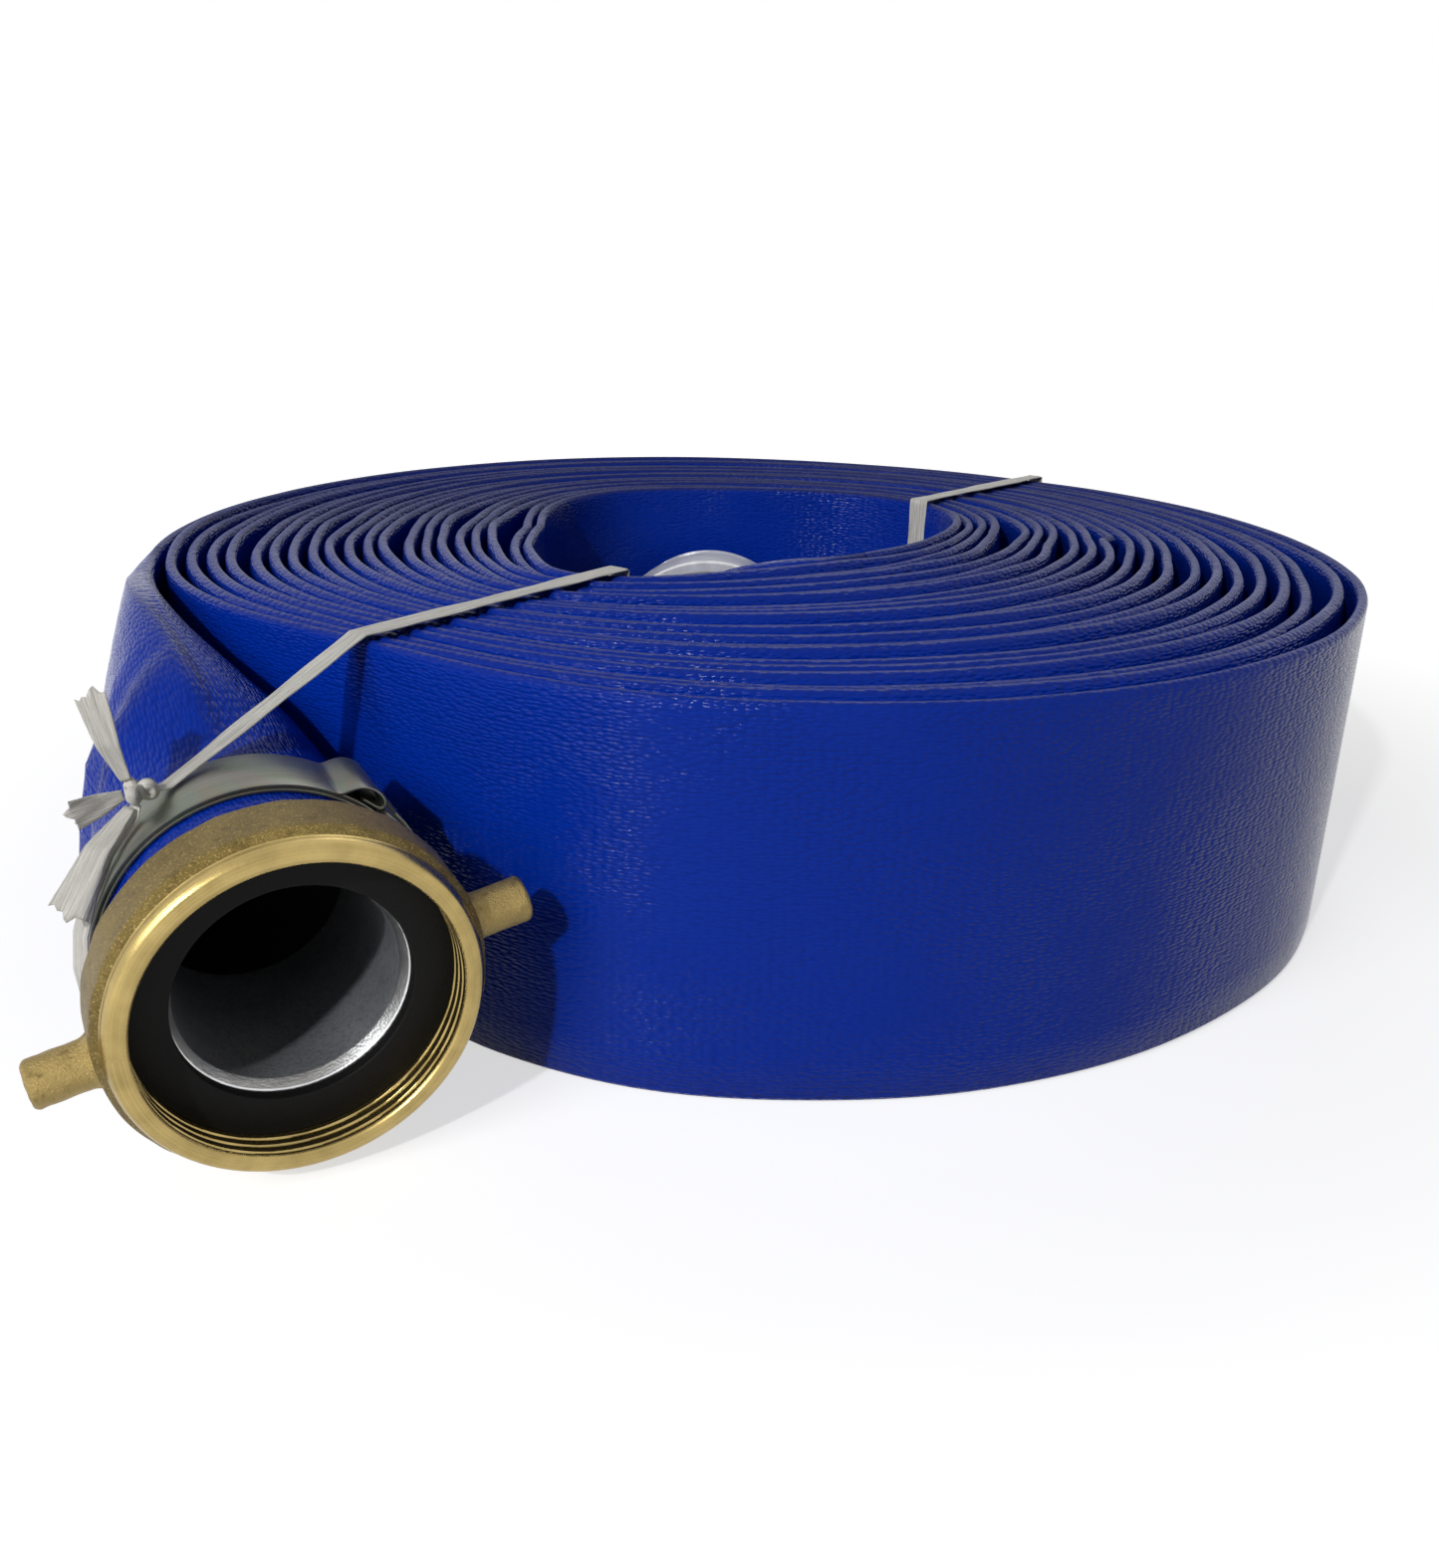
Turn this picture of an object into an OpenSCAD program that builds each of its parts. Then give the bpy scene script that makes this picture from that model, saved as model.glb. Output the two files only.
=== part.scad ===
// Lay-flat discharge hose, rolled up and lying on its side, with a swivel coupling on its outer
// end, a threaded coupling in the eye of the roll, and two film ties. Millimetres, +Z up.

/* [Hose] */
// Width of the hose pressed flat, which is the height of the roll
flat_width = 87; // [70:1:110]
// Thickness of the hose pressed flat, both walls together
flat_thickness = 2.7; // [2:0.1:4]
// Wall of the hose where it is round
hose_wall = 1.5; // [1:0.1:2.5]
// Bevel along the upper fold of the hose
fold_bevel = 1; // [0.5:0.1:2]

/* [Roll] */
// Whole loops of the roll, besides the part loop between its two ends
loops = 20; // [6:1:23]
// Air between neighbouring turns behind the eye
turn_gap = 0.95; // [0.9:0.05:2]
// Middle of the eye to its back wall
eye_back = 67; // [60:1:80]
// Middle of the eye to its side walls
eye_side = 63; // [60:1:75]
// Middle of the eye to its flattened front wall
eye_front = 44; // [40:0.5:60]
// How far the eye lies behind the middle of the roll
eye_offset = 15; // [0:1:20]
// How deep the swivel coupling presses the outer turns in
dent_depth = 10.5; // [0:0.5:12]
// How far the left and right ends of the roll stand out beyond a circle
side_swell = 4; // [0:0.5:8]

/* [Couplings] */
// How far the shank stretches the hose, on the diameter
hose_stretch = 0.5; // [0.2:0.1:3]
// Wall of the shank round the waterway
shank_wall = 7.5; // [5:0.5:10]
// Length of shank inside the hose at the swivel coupling
shank_grip = 31; // [24:1:45]
// Ridges round the shank
shank_ridges = 5; // [2:1:8]
// Depth of a ridge
ridge_depth = 0.8; // [0.4:0.1:1.5]
// Pitch of the coupling thread
thread_pitch = 2.1; // [1.5:0.1:3]
// Depth of the coupling thread
thread_depth = 1.2; // [0.6:0.1:1.5]
// Diameter of a lug
lug_d = 9; // [6:0.5:11]
// Length of a lug beyond the body that carries it
lug_length = 10.9; // [6:0.1:12]

/* [Swivel nut] */
// Turns of thread in the nut
nut_turns = 3; // [2:1:6]
// Metal between the thread and the outside of the rim
rim_wall = 4.1; // [3:0.1:7]
// How far the nut swells behind its rim
nut_swell = 1.5; // [0.5:0.1:3]
// How far the rear lip of the nut hooks over the shank collar
nut_hook = 1.1; // [0.8:0.1:2]
// Thickness of the rear lip
lip_thickness = 4.5; // [3:0.1:7]
// Thickness of the shank collar
collar_thickness = 4.3; // [3:0.1:7]
// Thickness of the rubber gasket
gasket_thickness = 2.8; // [2:0.1:5]
// How far the gasket stands back from the waterway
gasket_step = 0.5; // [0.2:0.1:3]
// Tilt of the two lugs from level
lug_tilt = 11; // [0:1:45]

/* [Threaded coupling] */
// Length of the outside thread
male_thread_length = 20; // [14:1:26]
// Width of the ring that carries the lugs
male_ring_width = 13; // [10:0.5:16]
// How far the ring stands out from the thread
male_ring_step = 3; // [1:0.5:5]
// Length of shank inside the hose
male_grip = 26; // [22:1:30]
// Height of its axis above the floor
male_height = 38; // [36:0.5:46]
// Sideways place of its axis from the middle of the roll
male_side = -14; // [-18:1:-8]
// Room between its thread end and the back wall of the eye
male_gap = 1.5; // [1:0.5:8]
// Tilt of its two lugs from level
male_lug_tilt = 35; // [20:1:60]

/* [Clamps] */
// Width of the clamp band
band_width = 16; // [10:1:18]
// Thickness of the band, two wraps together
band_thickness = 1.5; // [1:0.1:2.5]
// Thickness of the buckle
buckle_thickness = 2.2; // [1.5:0.1:4]
// Share of the turn that a buckle covers, in degrees
buckle_arc = 18; // [12:1:30]
// How far the buckle stands past the band on each side
buckle_margin = 1.5; // [0.5:0.1:3]

/* [Place of the swivel coupling] */
// Turn of its axis towards +X from straight ahead
coupling_turn = 29.5; // [20:0.5:40]
// Droop of its axis towards the mouth
coupling_droop = 3.8; // [0:0.2:6]
// Distance along its axis from beside the roll's middle to the mouth
coupling_reach = 121.8; // [110:0.1:150]
// Room under the nut body
coupling_lift = 1.6; // [1:0.1:10]

/* [Ties] */
// Width of the film tie
tie_width = 3.2; // [2:0.1:6]
// Thickness of the film tie
tie_thickness = 0.6; // [0.4:0.1:1]
// Diameter of a knot
knot_d = 7; // [5:0.5:10]
// Thickness of a film tail
tail_film = 0.8; // [0.6:0.1:1.5]

/* [Hidden] */
$fn = 96;

// Clearances
run_clear = 0.35;
seat_clear = 0.1;
tie_clear = 0.3;

// Spiral of the roll: it starts at the front wall of the eye and ends at the left side of the roll
ring_step = 15;
rings_per_loop = 360 / ring_step;
inner_angle = -49;
outer_angle = 191;
ring_count = loops * rings_per_loop + (outer_angle - inner_angle) / ring_step;
turn_count = ring_count / rings_per_loop;
roll_radius = eye_back + eye_offset + turn_count * (flat_thickness + turn_gap);
// Walls of the eye: direction, distance from the middle of the eye
eye_corner = 105;
eye_walls = [[0, eye_side], [90, eye_back], [180, eye_side], [240, eye_corner], [306, eye_front]];
eye_sharpness = 3;
dent_angle = -125;
dent_spread = 20;

function unit(v) = v / norm(v);
function wrapped(a) = a - 360 * floor((a + 180) / 360);
function sum(v, i = 0) = i < len(v) ? v[i] + sum(v, i + 1) : 0;
function right_of(v) = [v[1], -v[0]];
function eye_r(a) = pow(
    sum([for (w = eye_walls) pow(max(0, cos(a - w[0])) / w[1], eye_sharpness)]),
    -1 / eye_sharpness
);
function rim_r(a) = roll_radius + side_swell * pow(cos(a), 2)
    - dent_depth * exp(-pow(wrapped(a - dent_angle) / dent_spread, 2));
function ring_angle(i) = inner_angle + i * ring_step;
function coil_point(i) = let(u = i / ring_count, a = ring_angle(i))
    [0, (1 - u) * eye_offset] + ((1 - u) * eye_r(a) + u * rim_r(a)) * [cos(a), sin(a)];
coil_points = [for (i = [0 : ring_count]) coil_point(i)];
function run(i) = unit(coil_points[i + 1] - coil_points[i]);
function outward(i) =
    i == 0 ? right_of(run(0)) :
    i == ring_count ? right_of(run(ring_count - 1)) :
    let(m = unit(right_of(run(i - 1)) + right_of(run(i)))) m / (m * right_of(run(i)));
coil_outward = [for (i = [0 : ring_count]) outward(i)];

// The bottom fold is lifted a little where a tie passes under the roll
tie_offset = tie_clear + tie_thickness / 2;
tie_lift = 2 * tie_offset;
tie_reach = ring_step + atan(tie_width / eye_front);
function near(a, plane) = abs(wrapped(a - plane)) < tie_reach;
function bottom(i) = near(ring_angle(i), front_plane) || near(ring_angle(i), rear_plane) ? tie_lift : 0;
function flat_section(low) = let(h = flat_thickness / 2, f = flat_thickness / 4) [
    [-h, low], [h, low], [h, flat_width - fold_bevel],
    [f, flat_width], [-f, flat_width], [-h, flat_width - fold_bevel]
];
function coil_ring(i) = [
    for (q = flat_section(bottom(i)))
        let(p = coil_points[i] + q[0] * coil_outward[i]) [p[0], p[1], q[1]]
];

// Least gap of the spiral to itself: each outer corner against the inner face one loop further out
function point_gap(p, a, b) = let(d = b - a, t = max(0, min(1, ((p - a) * d) / (d * d)))) norm(p - a - t * d);
function face_point(i, side) = coil_points[i] + side * flat_thickness / 2 * coil_outward[i];
least_gap = min([
    for (i = [1 : ring_count - rings_per_loop - 1], j = [i - 1, i])
        let(k = j + rings_per_loop)
            min(
                point_gap(face_point(i, 1), face_point(k, -1), face_point(k + 1, -1)),
                point_gap(face_point(i + rings_per_loop, -1), face_point(j, 1), face_point(j + 1, 1))
            )
]);
coil_length = sum([for (i = [0 : ring_count - 1]) norm(coil_points[i + 1] - coil_points[i])]);
echo(least_gap_of_the_roll = least_gap, length_in_the_roll = coil_length, roll_radius = roll_radius);

// Distances from the middle of the roll to its innermost and outermost faces in one direction
function cross2(a, b) = a[0] * b[1] - a[1] * b[0];
function crossings(a, side) = let(d = [cos(a), sin(a)]) [
    for (i = [0 : ring_count - 1])
        let(p = face_point(i, side), q = face_point(i + 1, side), s = cross2(p, d), e = cross2(q, d))
            if (s * e <= 0 && (p + q) * d > 0) (p + (q - p) * s / (s - e)) * d
];
function inner_face(a) = min(crossings(a, -1));
function outer_face(a) = max(crossings(a, 1));

// The back wall of the eye at one sideways place
function back_wall(x) = min([
    for (i = [0 : rings_per_loop - 1])
        let(p = face_point(i, -1), q = face_point(i + 1, -1))
            if ((p[0] - x) * (q[0] - x) <= 0 && p[1] > eye_offset)
                p[1] + (q[1] - p[1]) * (x - p[0]) / (q[0] - p[0])
]);

// Radii of the couplings, from the hose outwards
shank_r = flat_width / PI + hose_stretch / 2;
bore_r = shank_r - shank_wall;
sleeve_sides = 24;
sleeve_bore_r = (shank_r + seat_clear) / cos(180 / sleeve_sides);
sleeve_r = sleeve_bore_r + hose_wall;
band_bore_r = sleeve_r + seat_clear;
band_r = band_bore_r + band_thickness;
lip_bore_r = shank_r + run_clear;
collar_r = lip_bore_r + nut_hook;
recess_r = collar_r + run_clear;
recess_step = 0.6;
thread_r = recess_r - recess_step;
nut_rim_r = thread_r + rim_wall;
nut_body_r = nut_rim_r + nut_swell;

// Stations of the swivel coupling, measured back from the mouth of the nut
thread_lead = 0.9;
gasket_front = thread_lead + nut_turns * thread_pitch;
gasket_back = gasket_front + gasket_thickness;
shank_front = gasket_back + run_clear;
collar_back = shank_front + collar_thickness;
lip_front = collar_back + run_clear;
nut_back = lip_front + lip_thickness;
hose_front = nut_back + 1.5;
shank_back = hose_front + shank_grip;
band_middle = hose_front + 16.5;
lug_station = (nut_back + 2) / 2;
nut_chamfer = 0.8;
nut_shoulder = 3;

// Stations of the threaded coupling, measured back from its thread end
male_thread_r = thread_r + thread_depth - run_clear;
male_ring_r = male_thread_r + male_ring_step;
male_ring_back = male_thread_length + male_ring_width;
male_hose_front = male_ring_back + 1.5;
male_shank_back = male_hose_front + male_grip;
male_band_middle = male_hose_front + male_grip / 2;

// Place of each coupling: middle of its mouth, turn and droop of its axis
function axis_of(turn, droop) = [sin(turn) * cos(droop), -cos(turn) * cos(droop), -sin(droop)];
function left_of(turn) = [-cos(turn), -sin(turn), 0];
press_clear = 0.5;
press_station = (coupling_reach - band_middle - band_width / 2) * cos(coupling_droop);
axis_distance = sqrt(pow(outer_face(dent_angle) + band_r + press_clear, 2) - pow(press_station, 2));
swivel_axis = axis_of(coupling_turn, coupling_droop);
swivel_left = left_of(coupling_turn);
swivel_up = cross(swivel_left, swivel_axis);
swivel_height = nut_body_r + coupling_lift;
swivel_plan = coupling_reach * [sin(coupling_turn), -cos(coupling_turn)]
    + axis_distance * [swivel_left[0], swivel_left[1]];
swivel_mouth = [swivel_plan[0], swivel_plan[1], swivel_height];
male_axis = axis_of(180, 0);
male_left = left_of(180);
male_up = [0, 0, 1];
male_wall = min([for (side = [-1, 0, 1]) back_wall(male_side + side * male_thread_r)]);
male_mouth = [male_side, male_wall - male_gap, male_height];

// Middle of the part's box seen from above, which is the origin
front_edge = swivel_mouth[1] - nut_rim_r * sqrt(1 - pow(swivel_axis[1], 2));
left_edge = -outer_face(180);
right_edge = outer_face(0);
back_edge = outer_face(90);
roll_x = -(left_edge + right_edge) / 2;
roll_y = -(front_edge + back_edge) / 2;

echo(middle_of_the_roll = [roll_x, roll_y]);
echo(mouth_of_the_nut = swivel_mouth + [roll_x, roll_y, 0], swivel_axis = swivel_axis);
echo(mouth_of_the_threaded_coupling = male_mouth + [roll_x, roll_y, 0], bore_radius = bore_r);
echo(thread_radius = thread_r, thread_length = gasket_front - thread_lead, lug_tip = nut_body_r + lug_length);

module on_the_floor() {
    translate([roll_x, roll_y, 0]) children();
}

module at_swivel() {
    on_the_floor() translate(swivel_mouth) rotate([90 + coupling_droop, 0, coupling_turn]) children();
}

module at_male() {
    on_the_floor() translate(male_mouth) rotate([90, 0, 180]) children();
}

// Closed skin of triangles over a row of rings that all have as many points
function skin_faces(n, m) = concat(
    [for (j = [1 : m - 2]) [0, j + 1, j]],
    [for (i = [0 : n - 2], j = [0 : m - 1]) [i * m + j, (i + 1) * m + (j + 1) % m, (i + 1) * m + j]],
    [for (i = [0 : n - 2], j = [0 : m - 1]) [i * m + j, i * m + (j + 1) % m, (i + 1) * m + (j + 1) % m]],
    [for (j = [1 : m - 2]) [(n - 1) * m, (n - 1) * m + j, (n - 1) * m + j + 1]]
);

module skin(rings) {
    points = [for (r = rings, p = r) p];
    polyhedron(points = points, faces = skin_faces(len(rings), len(rings[0])));
}

module hose_coil() {
    color("mediumblue")
        on_the_floor()
            skin([for (i = [0 : ring_count]) coil_ring(i)]);
}

// A tail of the hose opens from the flat end of the roll into the round sleeve on a shank
tail_rings = 10;
tail_swell = 1.8;
tail_narrowing = 1.6;
tail_hollow = [0.9, 0.8, 0.7];
flat_corner = 6;

function bezier(p, t) =
    pow(1 - t, 3) * p[0] + 3 * pow(1 - t, 2) * t * p[1] + 3 * (1 - t) * t * t * p[2] + pow(t, 3) * p[3];
function bezier_run(p, t) = unit(
    pow(1 - t, 2) * (p[1] - p[0]) + 2 * (1 - t) * t * (p[2] - p[1]) + t * t * (p[3] - p[2])
);
function half_thickness(t) = flat_thickness / 2 + (sleeve_r - flat_thickness / 2) * pow(t, tail_swell);
function half_height(w) =
    flat_width / 2 - (flat_width / 2 - sleeve_r) * pow(w / sleeve_r, tail_narrowing);
function oval(w, h, corner) = [
    for (j = [0 : sleeve_sides - 1])
        let(a = 360 * j / sleeve_sides)
            [w * sign(cos(a)) * pow(abs(cos(a)), 2 / corner), h * sign(sin(a)) * pow(abs(sin(a)), 2 / corner)]
];
function placed(points, middle, right, up) = [for (q = points) middle + q[0] * right + q[1] * up];

// Rings of the flare at share t of its route, 0 at the roll and 1 at the shank, thinned by inset
function flare_ring(route, height, up, bow, t, inset) =
    let(
        d = right_of(bezier_run(route, t)),
        p = bezier(route, t) + bow * pow(sin(180 * t), 2) * d,
        w = half_thickness(t),
        h = half_height(w),
        z = flat_width / 2 + (height - flat_width / 2) * t * t
    )
    placed(
        oval(w - inset, h - inset, 2 + flat_corner * pow(1 - t, 3)),
        [p[0], p[1], z], [d[0], d[1], 0], unit((1 - t) * [0, 0, 1] + t * up)
    );

function tail_skin(flat_point, flat_run, mouth, axis, left, up, ease, bow, front, back) =
    let(
        end = mouth - back * axis,
        front_point = mouth - front * axis,
        plan_axis = unit([axis[0], axis[1]]),
        end_plan = [end[0], end[1]],
        route = [flat_point, flat_point + ease * flat_run, end_plan - ease * plan_axis, end_plan]
    )
    concat(
        [for (i = [0 : tail_rings - 1]) flare_ring(route, end[2], up, bow, i / tail_rings, 0)],
        [for (p = [end, front_point]) placed(oval(sleeve_r, sleeve_r, 2), p, left, up)],
        [for (p = [front_point, end]) placed(oval(sleeve_bore_r, sleeve_bore_r, 2), p, left, up)],
        [for (t = tail_hollow) flare_ring(route, end[2], up, bow, t, hose_wall)]
    );

outer_ease = 46;
inner_ease = 30;
// The outer tail bows away from the roll
outer_bow = 2.5;
inner_bow = 0;

module hose_outer_tail() {
    color("mediumblue")
        on_the_floor()
            skin(tail_skin(
                coil_points[ring_count], run(ring_count - 1), swivel_mouth,
                swivel_axis, swivel_left, swivel_up, outer_ease, outer_bow, hose_front, shank_back
            ));
}

module hose_inner_tail() {
    color("mediumblue")
        on_the_floor()
            skin(tail_skin(
                coil_points[0], -run(0), male_mouth,
                male_axis, male_left, male_up, inner_ease, inner_bow, male_hose_front, male_shank_back
            ));
}

// Saw-tooth groove line of a thread or of shank ridges, from high to low stations
function inner_thread(turns) = [
    for (k = [turns - 1 : -1 : 0])
        let(z = -thread_lead - (k + 0.5) * thread_pitch, w = thread_pitch * 0.38)
            each [[thread_r, z - w], [thread_r + thread_depth, z], [thread_r, z + w]]
];
function outer_ridges(from, length) = [
    for (k = [0 : shank_ridges - 1])
        let(z = -from - k * length / shank_ridges, next = z - length / shank_ridges)
            each [[shank_r - ridge_depth, z], [shank_r, z - 0.5], [shank_r, z - 1.5], [shank_r - ridge_depth, next]]
];

// Two opposite round lugs with eased tips, set crosswise on a coupling body
module lug_pair(body_r, station, tilt) {
    tip_ease = 1.2;
    root = 3;
    for (side = [0, 180])
        rotate([0, 0, tilt + side])
            translate([0, 0, -station])
                rotate([0, 90, 0]) {
                    translate([0, 0, body_r - root])
                        cylinder(h = root + lug_length - tip_ease, d = lug_d);
                    translate([0, 0, body_r + lug_length - tip_ease])
                        cylinder(h = tip_ease, d1 = lug_d, d2 = lug_d - 2 * tip_ease);
                }
}

module swivel_nut() {
    nut_back_r = nut_body_r - 2.5;
    back_round = 4;
    color("goldenrod")
        at_swivel() {
            rotate_extrude()
                polygon(concat(
                    [
                        [nut_rim_r - nut_chamfer, 0],
                        [nut_rim_r, -nut_chamfer],
                        [nut_rim_r, -nut_shoulder],
                        [nut_body_r, -nut_shoulder - nut_swell],
                        [nut_body_r, -nut_back + back_round],
                        [nut_back_r, -nut_back],
                        [lip_bore_r, -nut_back],
                        [lip_bore_r, -lip_front],
                        [recess_r, -lip_front],
                        [recess_r, -gasket_front],
                        [thread_r, -gasket_front]
                    ],
                    inner_thread(nut_turns),
                    [[thread_r, -thread_lead], [thread_r + thread_lead, 0]]
                ));
            lug_pair(nut_body_r, lug_station, lug_tilt);
        }
}

module swivel_gasket() {
    gasket_r = recess_r - seat_clear;
    color([0.06, 0.06, 0.06])
        at_swivel()
            translate([0, 0, -gasket_back])
                difference() {
                    cylinder(h = gasket_thickness - seat_clear, r = gasket_r);
                    translate([0, 0, -1]) cylinder(h = gasket_thickness + 2, r = bore_r + gasket_step);
                }
}

module swivel_shank() {
    lip_chamfer = 0.8;
    color("silver")
        at_swivel()
            rotate_extrude()
                polygon(concat(
                    [
                        [bore_r + lip_chamfer, -shank_front],
                        [collar_r, -shank_front],
                        [collar_r, -collar_back],
                        [shank_r, -collar_back],
                        [shank_r, -hose_front]
                    ],
                    outer_ridges(hose_front, shank_grip),
                    [[bore_r, -shank_back], [bore_r, -shank_front - lip_chamfer]]
                ));
}

module threaded_coupling() {
    lip_chamfer = 1.2;
    turns = floor((male_thread_length - 3) / thread_pitch);
    groove = thread_pitch * 0.38;
    color("gainsboro")
        at_male() {
            rotate_extrude()
                polygon(concat(
                    [[bore_r, 0], [male_thread_r - lip_chamfer, 0], [male_thread_r, -lip_chamfer]],
                    [
                        for (k = [0 : turns - 1])
                            let(z = -lip_chamfer - (k + 0.5) * thread_pitch)
                                each [
                                    [male_thread_r, z + groove],
                                    [male_thread_r - thread_depth, z],
                                    [male_thread_r, z - groove]
                                ]
                    ],
                    [
                        [male_thread_r, -male_thread_length],
                        [male_ring_r, -male_thread_length],
                        [male_ring_r, -male_ring_back],
                        [shank_r, -male_ring_back],
                        [shank_r, -male_hose_front]
                    ],
                    outer_ridges(male_hose_front, male_grip),
                    [[bore_r, -male_shank_back]]
                ));
            lug_pair(male_ring_r, male_thread_length + male_ring_width / 2, male_lug_tilt);
        }
}

// Flat steel band wrapped round the hose over a shank
module clamp_band(middle) {
    translate([0, 0, -middle - band_width / 2])
        difference() {
            cylinder(h = band_width, r = band_r);
            translate([0, 0, -1]) cylinder(h = band_width + 2, r = band_bore_r);
        }
}

// Curved buckle on the band, with the folded end of the band on top of it
module clamp_buckle(middle, angle) {
    seat_r = band_r + seat_clear;
    fold_arc = buckle_arc * 0.7;
    rotate([0, 0, angle - buckle_arc / 2])
        rotate_extrude(angle = buckle_arc)
            translate([seat_r, -middle - band_width / 2 - buckle_margin])
                square([buckle_thickness, band_width + 2 * buckle_margin]);
    rotate([0, 0, angle - fold_arc / 2])
        rotate_extrude(angle = fold_arc)
            translate([seat_r + buckle_thickness / 2, -middle - band_width / 2])
                square([buckle_thickness / 2 + band_thickness / 2, band_width]);
}

swivel_buckle_angle = 45;
male_buckle_angle = 125;

module swivel_clamp_band() {
    color("slategray") at_swivel() clamp_band(band_middle);
}

module swivel_clamp_buckle() {
    color("slategray") at_swivel() clamp_buckle(band_middle, swivel_buckle_angle);
}

module threaded_clamp_band() {
    color("slategray") at_male() clamp_band(male_band_middle);
}

module threaded_clamp_buckle() {
    color("slategray") at_male() clamp_buckle(male_band_middle, male_buckle_angle);
}

// A tie lies in an upright plane through the middle of the roll: r is the distance out, z the height
// The front one crosses the swivel coupling at the back edge of its band
tie_sides = 8;
swivel_run = [swivel_axis[0], swivel_axis[1]];
front_station = band_middle + band_width / 2;
front_cross = swivel_plan - front_station * swivel_run;
front_plane = atan2(front_cross[1], front_cross[0]);
rear_plane = 50;
function corner(r, z, angles) = [for (a = angles) [r + tie_offset * cos(a), z + tie_offset * sin(a)]];
// Faces of the roll next to a tie, over the whole width of the film
function beside(plane, r) = let(reach = atan(tie_width / 2 / r)) [plane - reach, plane, plane + reach];
function tie_inner(plane) = min([for (a = beside(plane, inner_face(plane))) inner_face(a)]);
function tie_outer(plane) = max([for (a = beside(plane, outer_face(plane))) outer_face(a)]);
function roll_wrap(plane) = concat(
    corner(tie_inner(plane), flat_width, [90, 135, 180]),
    corner(tie_inner(plane), tie_lift, [180, 225, 270])
);

// Where the front tie goes round the hose end: the slanted section of the band is an ellipse
front_out = [cos(front_plane), sin(front_plane)];
front_middle = [norm(front_cross), swivel_height + front_station * sin(coupling_droop)];
front_normal = [-front_out[1], front_out[0], 0];
front_slant = acos(abs(unit(swivel_run) * [front_normal[0], front_normal[1]]));
front_side = tie_width / 2 * tan(front_slant);
front_high = band_r + tie_offset;
front_wide = front_high / cos(front_slant) + front_side;
knot_angle = 58;
knot_cover = 3;
knot_rise = knot_d / 4;
function on_hose(a, swell = 1) =
    let(
        q = swivel_mouth + swell * front_high * (cos(a) * swivel_left + sin(a) * swivel_up),
        p = q - swivel_axis * (q * front_normal) / (swivel_axis * front_normal)
    )
    [[p[0], p[1]] * front_out + front_side * cos(a), p[2]];
function in_knot(a) = on_hose(a) + knot_rise * [cos(a), sin(a)];
function tangent_angle(p, side) =
    let(v = [(p[0] - front_middle[0]) * front_high / front_wide, p[1] - front_middle[1]])
    atan2(v[1], v[0]) - side * acos(front_high / norm(v));
front_top = corner(tie_outer(front_plane), flat_width, [45, 90]);
front_bottom = corner(tie_outer(front_plane), tie_lift, [270]);
hose_steps = 10;
function front_route() =
    let(
        up = tangent_angle(front_top[0], 1),
        low = tangent_angle(front_bottom[0], -1),
        high = knot_angle - 2 * knot_cover,
        step = (high - low) / hose_steps
    )
    concat(
        [in_knot(knot_angle + knot_cover), on_hose(max(up, knot_angle + 2 * knot_cover))],
        front_top,
        roll_wrap(front_plane),
        front_bottom,
        [for (k = [0 : hose_steps]) on_hose(low + step * k, 1 / cos(step / 2))],
        [in_knot(knot_angle - knot_cover)]
    );
rear_knot_height = flat_width / 2;
function rear_route() = let(r = tie_outer(rear_plane), out = r + tie_offset) concat(
    [[out + knot_rise, rear_knot_height + knot_rise], [out, rear_knot_height + knot_d]],
    corner(r, flat_width, [0, 45, 90]),
    roll_wrap(rear_plane),
    corner(r, tie_lift, [270, 315, 360]),
    [[out, rear_knot_height - knot_d], [out + knot_rise, rear_knot_height - knot_rise]]
);

function in_plane(plane, p) = [p[0] * cos(plane), p[0] * sin(plane), p[1]];
function bend_normal(p, i) =
    i == 0 ? right_of(unit(p[1] - p[0])) :
    i == len(p) - 1 ? right_of(unit(p[i] - p[i - 1])) :
    let(a = right_of(unit(p[i] - p[i - 1])), b = right_of(unit(p[i + 1] - p[i])), m = unit(a + b)) m / (m * b);
function tie_ring(p, i, plane) =
    let(n = bend_normal(p, i), side = [-sin(plane), cos(plane), 0])
    [
        for (j = [0 : tie_sides - 1])
            let(a = 360 * (j + 0.5) / tie_sides, reach = 1 / cos(180 / tie_sides))
                in_plane(plane, p[i] + tie_thickness / 2 * reach * sin(a) * n)
                    + tie_width / 2 * reach * cos(a) * side
    ];

module tie(route, plane) {
    color("whitesmoke")
        on_the_floor()
            skin([for (i = [0 : len(route) - 1]) tie_ring(route, i, plane)]);
}

module front_tie() {
    tie(front_route(), front_plane);
}

module rear_tie() {
    tie(rear_route(), rear_plane);
}

front_knot_point = on_hose(knot_angle) + (knot_d / 2 - tie_clear) * [cos(knot_angle), sin(knot_angle)];
front_knot = in_plane(front_plane, front_knot_point);
rear_knot = in_plane(
    rear_plane, [tie_outer(rear_plane) + tie_offset + knot_d / 2 - tie_clear, rear_knot_height]
);

module front_tie_knot() {
    color("white") on_the_floor() translate(front_knot) sphere(d = knot_d);
}

module rear_tie_knot() {
    color("white") on_the_floor() translate(rear_knot) sphere(d = knot_d);
}

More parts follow.
